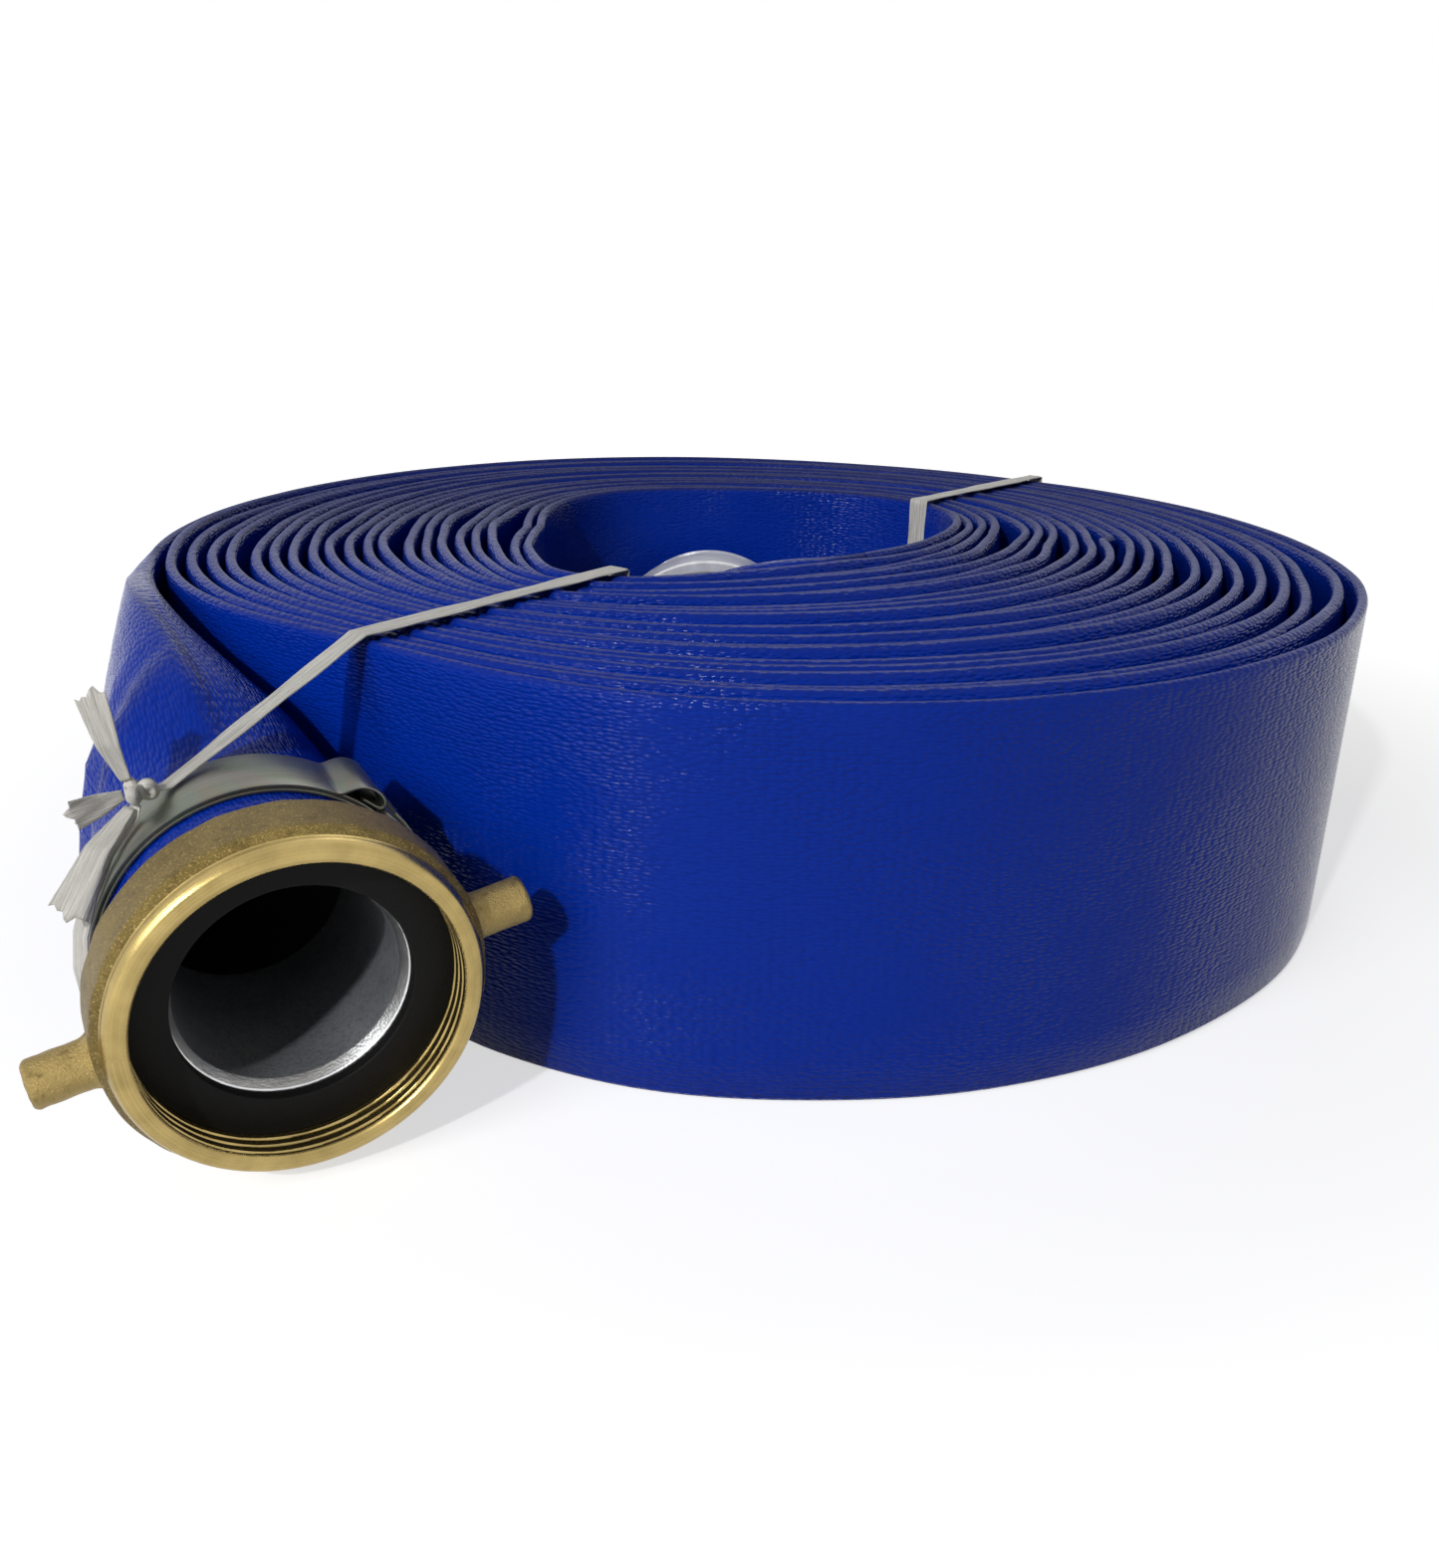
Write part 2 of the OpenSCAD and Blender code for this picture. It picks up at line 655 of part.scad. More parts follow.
// Film tails of the front knot: points from the middle of the knot and the width there, in knot diameters
upper_tail = [[[-0.29, 0, 0.29], 0.29], [[-0.57, -0.14, 1.29], 0.57], [[-1, 0.14, 2.57], 0.86]];
left_tail = [[[-0.29, -0.29, 0], 0.29], [[-0.71, -0.57, -0.14], 0.57], [[-1.29, -1.14, -0.29], 0.86]];
lower_tail = [[[-0.14, -0.29, -0.34], 0.29], [[-0.71, -1.29, -1.14], 0.71], [[-1.29, -2.14, -2.57], 1.14]];

module film_tail(points, across) {
    run = unit(points[len(points) - 1][0] - points[0][0]);
    side = unit(across - (across * run) * run);
    face = cross(run, side);
    color("whitesmoke")
        on_the_floor()
            translate(front_knot)
                skin([
                    for (p = points)
                        [
                            for (c = [[-1, -1], [-1, 1], [1, 1], [1, -1]])
                                knot_d * (p[0] + c[0] * p[1] / 2 * side) + c[1] * tail_film / 2 * face
                        ]
                ]);
}

module front_tie_upper_tail() {
    film_tail(upper_tail, [1, 0, 0]);
}

module front_tie_left_tail() {
    film_tail(left_tail, [0, 0, 1]);
}

module front_tie_lower_tail() {
    film_tail(lower_tail, [1, 0, 0]);
}

hose_coil();
hose_outer_tail();
hose_inner_tail();
swivel_nut();
swivel_gasket();
swivel_shank();
swivel_clamp_band();
swivel_clamp_buckle();
threaded_coupling();
threaded_clamp_band();
threaded_clamp_buckle();
front_tie();
front_tie_knot();
front_tie_upper_tail();
front_tie_left_tail();
front_tie_lower_tail();
rear_tie();
rear_tie_knot();
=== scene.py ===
"""A rolled lay-flat hose with a brass swivel coupling: the dressed model, its light and its camera."""
import math

import bpy
import numpy as np
from mathutils import Matrix, Vector, noise


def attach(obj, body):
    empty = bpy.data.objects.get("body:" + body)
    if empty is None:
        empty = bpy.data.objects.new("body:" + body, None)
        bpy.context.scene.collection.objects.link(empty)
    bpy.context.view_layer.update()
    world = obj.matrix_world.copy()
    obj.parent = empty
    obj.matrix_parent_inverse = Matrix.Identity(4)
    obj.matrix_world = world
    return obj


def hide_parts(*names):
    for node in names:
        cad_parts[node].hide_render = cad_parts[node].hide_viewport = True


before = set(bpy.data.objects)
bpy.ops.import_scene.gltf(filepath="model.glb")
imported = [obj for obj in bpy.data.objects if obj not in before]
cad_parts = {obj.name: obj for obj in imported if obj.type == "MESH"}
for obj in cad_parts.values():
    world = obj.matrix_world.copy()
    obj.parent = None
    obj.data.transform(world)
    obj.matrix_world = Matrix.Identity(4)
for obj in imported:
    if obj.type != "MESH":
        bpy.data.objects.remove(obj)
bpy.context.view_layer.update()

MM = 0.001
UP = np.array([0.0, 0.0, 1.0])

# Without a seed the noise on the castings would differ in each run
NOISE_SEED = 1

# The roll, in millimetres and degrees, about its middle
ROLL_MIDDLE = np.array([1.274, 22.468])
FLAT_WIDTH = 87.0
FLAT_THICKNESS = 2.7
HOSE_WALL = 1.5
FOLD_NOSE = 1.5
TURN_GAP = 0.95
LOOPS = 20
INNER_ANGLE = -49
OUTER_ANGLE = 191
EYE_OFFSET = 15
EYE_WALLS = ((0, 63), (90, 67), (180, 63), (240, 105), (306, 44))
EYE_SHARPNESS = 3
EYE_BACK = 67
DENT_DEPTH = 10.5
DENT_ANGLE = -125
DENT_SPREAD = 20
SIDE_SWELL = 4
TURNS = LOOPS + (OUTER_ANGLE - INNER_ANGLE) / 360
ROLL_RADIUS = EYE_BACK + EYE_OFFSET + TURNS * (FLAT_THICKNESS + TURN_GAP)

# Gaps between turns at the two ends of the roll: direction, half width, turn inside the gap, opening
GAPS = (
    (182, 24, 2.15, 6.0), (172, 16, 5.1, 3.5), (190, 18, 8.2, 3.2), (178, 14, 12.1, 3.6), (186, 20, 16.1, 3.2),
    (180, 16, 18.6, 2.6),
    (8, 36, 3.65, 6.5), (-4, 16, 6.2, 3.6), (3, 14, 9.15, 3.4), (-9, 20, 12.4, 3.4), (-3, 16, 15.6, 3.6),
    (-11, 16, 18.4, 3.8),
)
GAP_SETTLE = 2.4
GAP_INWARD = 0.6
GAP_OUTWARD = 0.4
END_EASE = 0.3
RING_STEP = 1.5
SEAM_BACK = 45

# Waves of the turns (height, count, phase), and the front, where the turns bulge and their folds get less painted grey
# sheen
FRONT_WAVES = ((0.55, 2.37, 0), (0.25, 9.3, 0))
SMALL_WAVES = ((0.10, 17.7, 0),)
TOP_WAVES = ((0.45, 0.37, 1), (0.3, 1.61, 0), (0.12, 5.3, 0))
TOP_DROP = 0.75
FRONT_ANGLE = -92
FRONT_SHEEN_DROP = 0.85
BULGE_SHARE = 0.85
BULGE_CLEARANCE = 0.4
BULGE_REACH = 7

# The two tails: counts of rings, eases and bow in millimetres, powers of the swell and the taper, shares of the length
# where a tail is round and level, and the millimetres over which the painted grey sheen on the folds fades
TAIL_STEPS = 72
LINING_START = 40
LINING_END = 0.05
SLEEVE_STEPS = 10
OUTER_EASE = 46
INNER_EASE = 30
OUTER_BOW = 2.5
TAIL_SWELL = 1.8
TAIL_TAPER = 1.6
ROUND_FROM = 0.7
LEVEL_FROM = 0.4
SHEEN_FADE = 25

# Fullness and folds of the outer tail; a crease has its start and end (share of the tail, share of the side), depth
# and spread, and a pucker its height, count and phase
TAIL_FULLNESS = 4.5
TOP_FULLNESS = 4.5
PUCKER_HEIGHT = 0.28
PUCKERS = ((1, 13, 0), (0.7, 21, 1))
# Share of a crease's depth given as painted grey sheen beside it
CREASE_SHEEN = 0.5
CREASE_FADE = 0.12
SHOULDER_HEIGHT = 0.55
SHOULDER_AWAY = 1.7
TAIL_CREASES = (
    ((0.70, 0.98), (0.97, 0.42), 2.2, 0.090),
    ((0.82, 0.97), (0.99, 0.72), 1.0, 0.050),
    ((0.40, 0.52), (0.92, 0.34), 0.9, 0.050),
)

# Couplings: middle of the mouth, axis out of the mouth, radii and stations behind the mouth
SEGMENTS = 144
NUT_SEGMENTS = 192
LUG_SEGMENTS = 56
NUT_MOUTH = np.array([-78.763, -162.758, 36.343])
NUT_AXIS = np.array([0.491341, -0.868442, -0.066274])
NUT_LEFT = np.array([-0.870356, -0.492424, 0.0])
MALE_MOUTH = np.array([-12.726, 93.668, 38.0])
MALE_AXIS = np.array([0.0, 1.0, 0.0])
MALE_LEFT = np.array([1.0, 0.0, 0.0])
SHANK_R = 27.943
BORE_R = 20.443
SLEEVE_R = 29.785
SLEEVE_BORE_R = 28.285
BAND_BORE_R = 29.885
BAND_R = 31.385
BAND_WIDTH = 16
LIP_BORE_R = 28.293
COLLAR_R = 29.393
RECESS_R = 29.743
THREAD_R = 29.143
NUT_RIM_R = 33.243
NUT_BODY_R = 34.743
THREAD_PITCH = 2.1
THREAD_DEPTH = 1.2
THREAD_GROOVE = 0.16
THREAD_STEP = 0.14
THREAD_FADE = 0.7
THREAD_END = 7.2
GASKET_BACK = 10.0
SHANK_FRONT = 10.35
COLLAR_BACK = 14.65
LIP_FRONT = 15.0
NUT_BACK = 19.5
HOSE_FRONT = 21.0
SHANK_BACK = 52.0
BAND_MIDDLE = 37.5
BUCKLE_ANGLE = 45
LUG_STATION = 10.75
LUG_TILT = 11
LUG_R = 4.5
LUG_LENGTH = 10.9
LUG_ROUND = 1.1
BORE_EDGE = 1.3
BORE_EDGE_DEPTH = 2.3
GASKET_BORE_R = BORE_R + 1.2
MALE_THREAD_R = 29.993
MALE_RING_R = 32.993
MALE_THREAD_LENGTH = 20
MALE_RING_BACK = 33
MALE_HOSE_FRONT = 34.5
MALE_SHANK_BACK = 60.5
MALE_BAND_MIDDLE = 47.5
MALE_BUCKLE_ANGLE = 125
MALE_LUG_TILT = 35

# Routes of the two ties: distance out from the middle of the roll and height, in metres
FRONT_TIE_PLANE = -125.1
FRONT_TIE_ROUTE = (
    (0.1965, 0.0684), (0.1932, 0.0681), (0.1465, 0.0874), (0.1461, 0.0876), (0.0623, 0.0876), (0.0619, 0.0874),
    (0.0617, 0.0870), (0.0617, 0.0012), (0.0619, 0.0008), (0.0623, 0.0006), (0.1461, 0.0006), (0.1857, 0.0076),
    (0.1935, 0.0097), (0.2005, 0.0133), (0.2064, 0.0183), (0.2108, 0.0243), (0.2136, 0.0311), (0.2145, 0.0384),
    (0.2136, 0.0456), (0.2108, 0.0526), (0.2064, 0.0589), (0.2005, 0.0642), (0.1998, 0.0665),
)
REAR_TIE_PLANE = 50.0
REAR_TIE_ROUTE = (
    (0.1601, 0.0453), (0.1583, 0.0505), (0.1583, 0.0870), (0.1582, 0.0874), (0.1577, 0.0876), (0.0823, 0.0876),
    (0.0819, 0.0874), (0.0817, 0.0870), (0.0817, 0.0012), (0.0819, 0.0008), (0.0823, 0.0006), (0.1577, 0.0006),
    (0.1582, 0.0008), (0.1583, 0.0012), (0.1583, 0.0365), (0.1601, 0.0418),
)
FRONT_KNOT = np.array([-113.113, -140.313, 68.722])
REAR_KNOT = np.array([105.113, 146.218, 43.5])
REAR_KNOT_WAY = (0.64, 0.77, 0)

# The film: shares of its width at a knot and gained away from it, the room under the roll, and the bite of the rear tie
TIE_WIDTH = 4.8
TIE_THICKNESS = 0.6
TIE_STEP = 1.2
TIE_AT_KNOT = 0.65
TIE_GAIN = 0.55
TIE_GAIN_LENGTH = 50
TIE_ROOM = 1.3
TIE_ROOM_ANGLE = 9
TIE_BITE = 1.15
TIE_BITE_ANGLE = 6
TIE_BITE_TURNS = 4
TIE_BITE_EASE = 3.6
FILM_THICKNESS = 0.25

# Camera, in millimetres and degrees
IMAGE_HEIGHT = 1575
FOCAL_PIXELS = 1450
SENSOR = 36
CAMERA_PLACE = np.array([-7.926, -383.432, 165.4])
CAMERA_PITCH = 20.76
CAMERA_ROLL = 1.58

# Setting, in metres; the floor glows less near the object, and a lamp has its name, place, aim, size and power in watts
FLOOR_HALF = 4.0
FLOOR_DROP = 0.0003
FLOOR_NEAR = 0.20
FLOOR_FAR = 0.60
NEAR_GLOW = 0.64
AMBIENT = 0.09
LAMPS = (
    ("key", (-0.50, -1.17, 0.80), (0, -0.05, 0.04), 0.05, 8.5),
    ("front", (-0.80, -1.00, 0.70), (0, -0.05, 0.04), 0.6, 7),
    ("fill_left", (-1.3, 0.1, 0.9), (0, 0, 0.04), 0.7, 0.25),
    ("back", (0.2, 1.1, 1.3), (0, 0.05, 0.05), 0.6, 2.2),
)


def unit(v):
    return v / np.linalg.norm(v)


def wrapped(a):
    return a - 360 * np.floor((a + 180) / 360)


def direction(a):
    return np.stack([np.cos(np.radians(a)), np.sin(np.radians(a))], -1)


def smooth(t):
    t = np.clip(t, 0, 1)
    return t * t * (3 - 2 * t)


# Materials

def set_inputs(tree, node, ins):
    """Link a node's inputs to other nodes' outputs, or set their values."""
    for key, value in ins.items():
        if isinstance(value, bpy.types.NodeSocket):
            tree.links.new(value, node.inputs[key])
        else:
            node.inputs[key].default_value = value


def add(tree, kind, ins=None, **props):
    node = tree.nodes.new("ShaderNode" + kind)
    for key, value in props.items():
        setattr(node, key, value)
    set_inputs(tree, node, ins or {})
    return node


def material(name):
    made = bpy.data.materials.new(name)
    made.use_nodes = True
    tree = made.node_tree
    return made, tree, tree.nodes["Principled BSDF"]


def place(tree):
    """Object coordinates in millimetres."""
    coords = add(tree, "TexCoord").outputs["Object"]
    return stretched(tree, coords, (1000, 1000, 1000))


def weave_marks(tree):
    """Millimetres along a piece and across it, and how much painted grey sheen it takes."""
    return add(tree, "Attribute", attribute_name="weave").outputs["Vector"]


def grain(tree, vector, scale, detail=3.0, roughness=0.55):
    ins = {"Vector": vector, "Scale": scale, "Detail": detail, "Roughness": roughness}
    return add(tree, "TexNoise", ins).outputs["Fac"]


def ramp(tree, fac, low, high, start=0.0, end=1.0):
    node = add(tree, "ValToRGB", {"Fac": fac})
    node.color_ramp.elements[0].position = start
    node.color_ramp.elements[0].color = (*low, 1)
    node.color_ramp.elements[1].position = end
    node.color_ramp.elements[1].color = (*high, 1)
    return node.outputs["Color"]


def span(tree, fac, low, high):
    return add(tree, "MapRange", {"Value": fac, "To Min": low, "To Max": high}).outputs["Result"]


def blend(tree, fac, a, b):
    node = add(tree, "Mix", data_type="RGBA")
    set_inputs(tree, node, {0: fac, 6: a, 7: b})
    return node.outputs[2]


def bump(tree, height, distance, strength=1.0, normal=None):
    ins = {"Height": height, "Distance": distance * MM, "Strength": strength}
    if normal is not None:
        ins["Normal"] = normal
    return add(tree, "Bump", ins).outputs["Normal"]


def stretched(tree, vector, scale):
    return add(tree, "Mapping", {"Vector": vector, "Scale": scale}).outputs["Vector"]


def calculated(tree, operation, a, b):
    return add(tree, "Math", {0: a, 1: b}, operation=operation).outputs[0]


def painted_fold_sheen(tree, weave):
    """How much painted grey sheen a surface takes: by a mark above 0 close to the two folds, by one below 0 on a
    crease.
    """
    marks = add(tree, "SeparateXYZ", {"Vector": weave}).outputs
    up_face = calculated(tree, "PINGPONG", marks["Y"], FLAT_WIDTH)
    down_face = calculated(tree, "SUBTRACT", FLAT_WIDTH, up_face)
    painted_sheen = add(tree, "MapRange", {
        "Value": calculated(tree, "MINIMUM", up_face, down_face),
        "From Min": 0.35, "From Max": 1.5, "To Min": 0.62, "To Max": 0.0,
    }).outputs["Result"]
    painted_sheen = calculated(tree, "MULTIPLY", painted_sheen, calculated(tree, "MAXIMUM", marks["Z"], 0.0))
    creases = calculated(tree, "MAXIMUM", calculated(tree, "MULTIPLY", marks["Z"], -1.0), 0.0)
    painted_sheen = calculated(tree, "ADD", painted_sheen, creases)
    return calculated(tree, "MULTIPLY", painted_sheen, span(tree, grain(tree, weave, 0.12, 3), 0.7, 1.3))


def hose_material():
    """Blue coated cloth: a pebble of short dashes along the hose, painted grey sheen on the folds, scuffs, soft colour
    changes.
    """
    made, tree, shader = material("hose_blue")
    weave = weave_marks(tree)
    dashes = stretched(tree, weave, (1 / 2.1, 1 / 0.8, 1))
    cells = add(tree, "TexVoronoi", {"Vector": dashes, "Scale": 1.0, "Randomness": 0.7}, voronoi_dimensions="2D")
    pebbles = cells.outputs["Distance"]
    threads = grain(tree, stretched(tree, weave, (0.30, 1.7, 1)), 1.0, 3, 0.6)
    warp = grain(tree, weave, 0.35)
    cloud = grain(tree, weave, 0.02, 4)
    patches = ramp(tree, grain(tree, weave, 0.035, 3), (0.45, 0.45, 0.45), (1, 1, 1), 0.38, 0.60)
    scuff = grain(tree, stretched(tree, weave, (0.06, 0.5, 1)), 1.0, 5, 0.7)
    base = blend(tree, cloud, (0.0005, 0.0240, 0.310, 1), (0.0008, 0.0300, 0.365, 1))
    base = blend(tree, span(tree, pebbles, 0, 0.5), base, (0.0003, 0.0150, 0.215, 1))
    base = blend(tree, ramp(tree, scuff, (0, 0, 0), (0.08, 0.08, 0.08), 0.64, 0.82), base, (0.06, 0.08, 0.20, 1))
    painted_sheen = painted_fold_sheen(tree, weave)
    # Painted grey sheen on the folds and creases
    base = blend(tree, painted_sheen, base, (0.026, 0.025, 0.026, 1))
    gloss = calculated(tree, "ADD", span(tree, warp, 0.05, 0.22), calculated(tree, "MULTIPLY", painted_sheen, 0.5))
    relief = calculated(tree, "MULTIPLY", pebbles, patches)
    normal = bump(tree, relief, 0.40, 0.9)
    normal = bump(tree, threads, 0.18, 0.6, normal)
    set_inputs(tree, shader, {
        "Base Color": base,
        "Roughness": gloss,
        "Specular IOR Level": 0.075,
        "Normal": bump(tree, warp, 0.30, 0.4, normal),
    })
    return made


def brass_cast_material(name, dull, fair):
    """Sand-cast brass gone brown: coarse grain whose crests are bright from rubbing."""
    made, tree, shader = material(name)
    at = place(tree)
    fine = grain(tree, at, 2.3, 4, 0.7)
    pits = grain(tree, at, 0.45, 3)
    broad = grain(tree, at, 0.10, 3)
    base = ramp(tree, broad, dull, fair, 0.3, 0.72)
    base = blend(tree, ramp(tree, fine, (0, 0, 0), (0.9, 0.9, 0.9), 0.54, 0.70), base, (0.46, 0.35, 0.135, 1))
    base = blend(tree, ramp(tree, pits, (0.5, 0.5, 0.5), (0, 0, 0), 0.30, 0.42), base, (0.070, 0.050, 0.020, 1))
    normal = bump(tree, pits, 0.35, 0.4)
    set_inputs(tree, shader, {
        "Base Color": base,
        "Metallic": 1.0,
        "Roughness": span(tree, fine, 0.30, 0.58),
        "Normal": bump(tree, fine, 0.55, 0.7, normal),
    })
    return made


def brass_machined_material():
    """Turned brass: fine rings round the axis, a little dulled in places."""
    made, tree, shader = material("brass_machined")
    weave = weave_marks(tree)
    rings = grain(tree, stretched(tree, weave, (0.012, 3.4, 1)), 1.0, 4, 0.6)
    at = place(tree)
    fine = grain(tree, at, 1.6, 4)
    broad = grain(tree, at, 0.14, 3)
    base = ramp(tree, broad, (0.33, 0.245, 0.092), (0.50, 0.375, 0.145), 0.3, 0.72)
    base = blend(tree, ramp(tree, rings, (0, 0, 0), (0.5, 0.5, 0.5), 0.45, 0.7), base, (0.62, 0.48, 0.20, 1))
    set_inputs(tree, shader, {
        "Base Color": base,
        "Metallic": 1.0,
        "Roughness": span(tree, fine, 0.20, 0.38),
        "Normal": bump(tree, rings, 0.10, 0.55),
    })
    return made


def rubber_material(name, low, high):
    made, tree, shader = material(name)
    fine = grain(tree, place(tree), 1.6, 4)
    set_inputs(tree, shader, {
        "Base Color": ramp(tree, fine, (low, low, low), (high, high, high)),
        "Roughness": span(tree, fine, 0.4, 0.6),
        "Specular IOR Level": 0.1,
        "Normal": bump(tree, fine, 0.2, 0.5),
    })
    return made


def aluminium_material(name, metallic):
    made, tree, shader = material(name)
    at = place(tree)
    fine = grain(tree, at, 1.8, 5)
    broad = grain(tree, at, 0.15, 3)
    set_inputs(tree, shader, {
        "Base Color": ramp(tree, broad, (0.62, 0.63, 0.65), (0.84, 0.85, 0.86), 0.3, 0.7),
        "Metallic": metallic,
        "Roughness": span(tree, fine, 0.24, 0.44),
        "Normal": bump(tree, fine, 0.2, 0.45),
    })
    return made


def dark_bore_material():
    """As-cast bore of the shank: dark grey, with a fine leathery grain."""
    made, tree, shader = material("aluminium_as_cast")
    at = place(tree)
    fine = grain(tree, at, 1.3, 5, 0.65)
    broad = grain(tree, at, 0.08, 3)
    base = ramp(tree, broad, (0.170, 0.178, 0.196), (0.250, 0.260, 0.280), 0.3, 0.7)
    base = blend(tree, ramp(tree, fine, (0.55, 0.55, 0.55), (0, 0, 0), 0.35, 0.55), base, (0.085, 0.090, 0.100, 1))
    set_inputs(tree, shader, {
        "Base Color": base,
        "Metallic": 0.4,
        "Roughness": span(tree, fine, 0.42, 0.62),
        "Normal": bump(tree, fine, 0.30, 0.6),
    })
    return made


def steel_material():
    """Galvanised strap: faint crystal patches, lines from rolling and dull spots."""
    made, tree, shader = material("steel_galvanised")
    at = place(tree)
    weave = weave_marks(tree)
    spangle = add(tree, "TexVoronoi", {"Vector": at, "Scale": 0.22, "Randomness": 1.0}).outputs["Color"]
    rolled = grain(tree, stretched(tree, weave, (0.03, 1.4, 1)), 1.0, 4)
    fine = grain(tree, at, 1.2, 5)
    base = blend(tree, 0.04, ramp(tree, rolled, (0.125, 0.130, 0.105), (0.235, 0.242, 0.200), 0.3, 0.7), spangle)
    base = blend(tree, 0.45, base, (0.180, 0.187, 0.150, 1))
    set_inputs(tree, shader, {
        "Base Color": base,
        "Metallic": 1.0,
        "Roughness": span(tree, fine, 0.28, 0.46),
        "Normal": bump(tree, rolled, 0.08, 0.4),
    })
    return made


def film_material():
    """Stretch film drawn into a cord: fibres along it, milky, with glossy creases."""
    made, tree, shader = material("film_white")
    fibres = grain(tree, stretched(tree, weave_marks(tree), (0.08, 2.6, 1)), 1.0, 5, 0.7)
    set_inputs(tree, shader, {
        "Base Color": ramp(tree, fibres, (0.28, 0.27, 0.24), (0.70, 0.68, 0.63), 0.3, 0.62),
        "Roughness": span(tree, fibres, 0.5, 0.25),
        "Specular IOR Level": 0.4,
        "Normal": bump(tree, fibres, 0.4, 0.7),
    })
    return made


def seen_directly(tree):
    """1 for rays from the camera, from a reflection or through glass, and 0 for light on other things."""
    rays = add(tree, "LightPath").outputs
    seen = calculated(tree, "MAXIMUM", rays["Is Camera Ray"], rays["Is Glossy Ray"])
    return calculated(tree, "MAXIMUM", seen, rays["Is Transmission Ray"])


def floor_material():
    """White paper: it shows the object's shadow near the object, and runs out to plain white."""
    made, tree, shader = material("floor_pale")
    fine = grain(tree, place(tree), 0.02, 2)
    set_inputs(tree, shader, {
        "Base Color": ramp(tree, fine, (0.61, 0.61, 0.61), (0.63, 0.63, 0.63)),
        "Roughness": 0.9,
        "Specular IOR Level": 0.0,
    })
    coords = add(tree, "TexCoord").outputs["Object"]
    away = add(tree, "VectorMath", {0: coords}, operation="LENGTH").outputs["Value"]
    level = add(tree, "MapRange", {
        "Value": away, "From Min": FLOOR_NEAR, "From Max": FLOOR_FAR, "To Min": NEAR_GLOW, "To Max": 1.0,
    }).outputs["Result"]
    glow = add(tree, "Emission", {"Strength": calculated(tree, "MULTIPLY", level, seen_directly(tree))})
    both = add(tree, "AddShader", {0: shader.outputs[0], 1: glow.outputs[0]})
    tree.links.new(both.outputs[0], tree.nodes["Material Output"].inputs["Surface"])
    return made


# Mesh helpers: a part is (points in millimetres, faces, material index or one for each face, weave marks or None)

def grid_faces(rows, columns, around=True):
    k = np.arange(rows - 1)[:, None] * columns
    j = np.arange(columns if around else columns - 1)[None, :]
    n = (j + 1) % columns
    return np.stack([k + j, k + n, k + n + columns, k + j + columns], -1).reshape(-1, 4).tolist()


def skin(rings, index=0, weave=None, caps=False):
    """Closed rings, counted along the piece, joined into a tube."""
    rows, columns = rings.shape[:2]
    faces = grid_faces(rows, columns)
    if caps:
        faces += [list(range(columns))[::-1], [(rows - 1) * columns + j for j in range(columns)]]
    points = rings.reshape(-1, 3)
    marks = None if weave is None else weave.reshape(-1, weave.shape[-1])
    return points, faces, index, marks


def sheet(grid, weave):
    """Open rows of points joined into a strip."""
    rows, columns = grid.shape[:2]
    return grid.reshape(-1, 3), grid_faces(rows, columns, False), 0, weave.reshape(-1, 2)


def piece(name, parts, materials, body, nodes, sharp=40):
    points, faces, picks, marks = [], [], [], []
    start = 0
    for part_points, part_faces, index, weave in parts:
        points.append(part_points)
        faces += [[start + v for v in face] for face in part_faces]
        picks += [index] * len(part_faces) if np.isscalar(index) else list(index)
        marks.append(np.zeros((len(part_points), 3)))
        if weave is not None:
            marks[-1][:, :weave.shape[1]] = weave
        start += len(part_points)
    mesh = bpy.data.meshes.new(name)
    mesh.from_pydata((np.concatenate(points) * MM).tolist(), [], faces)
    for one in materials:
        mesh.materials.append(one)
    mesh.polygons.foreach_set("material_index", picks)
    store = mesh.attributes.new("weave", "FLOAT_VECTOR", "POINT")
    store.data.foreach_set("vector", np.concatenate(marks).astype(np.float32).ravel())
    mesh.validate()
    mesh.shade_smooth()
    mesh.set_sharp_from_angle(angle=math.radians(sharp))
    obj = bpy.data.objects.new(name, mesh)
    bpy.context.scene.collection.objects.link(obj)
    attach(obj, body)
    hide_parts(*nodes)
    return obj


def rough(points, size, depth, seed=0):
    """The points moved by smooth noise, for cast or hand-made surfaces."""
    return np.array([
        p + depth * np.array(noise.noise_vector(Vector(p / size) + Vector((seed, 0, 0)))) for p in points
    ])


# The hose

def eye_radius(a):
    walls = [np.maximum(0, np.cos(np.radians(a - d))) / r for d, r in EYE_WALLS]
    return sum(w ** EYE_SHARPNESS for w in walls) ** (-1 / EYE_SHARPNESS)


def rim_radius(a):
    dent = DENT_DEPTH * np.exp(-(wrapped(a - DENT_ANGLE) / DENT_SPREAD) ** 2)
    return ROLL_RADIUS + SIDE_SWELL * np.cos(np.radians(a)) ** 2 - dent


def waves(angle, table):
    return sum(height * np.sin(count * angle + phase) for height, count, phase in table)


def frontness(a):
    """1 at the front of the roll, falling to 0 behind."""
    return (0.5 + 0.5 * np.cos(np.radians(a - FRONT_ANGLE))) ** 2


def settled(a, turn):
    """How far a turn moves out or in: gaps at the two ends of the roll, waves, and a pinch under the rear tie."""
    shift = np.zeros_like(a)
    for angle, half, at, opening in GAPS:
        tent = np.maximum(0, 1 - np.abs(wrapped(a - angle)) / half)
        away = turn - at
        side = np.where(away < 0, -GAP_INWARD, GAP_OUTWARD)
        shift += tent * opening * side * np.exp(-np.abs(away) / GAP_SETTLE)
    t = np.radians(a)
    shift += frontness(a) * waves(t, FRONT_WAVES) + waves(t, SMALL_WAVES)
    under_tie = np.exp(-(wrapped(a - REAR_TIE_PLANE) / TIE_BITE_ANGLE) ** 2)
    under_tie *= np.clip((turn - TURNS + TIE_BITE_TURNS) / TIE_BITE_EASE, 0, 1)
    return (shift - TIE_BITE * under_tie) * np.clip(np.minimum(turn, TURNS - turn) / END_EASE, 0, 1)


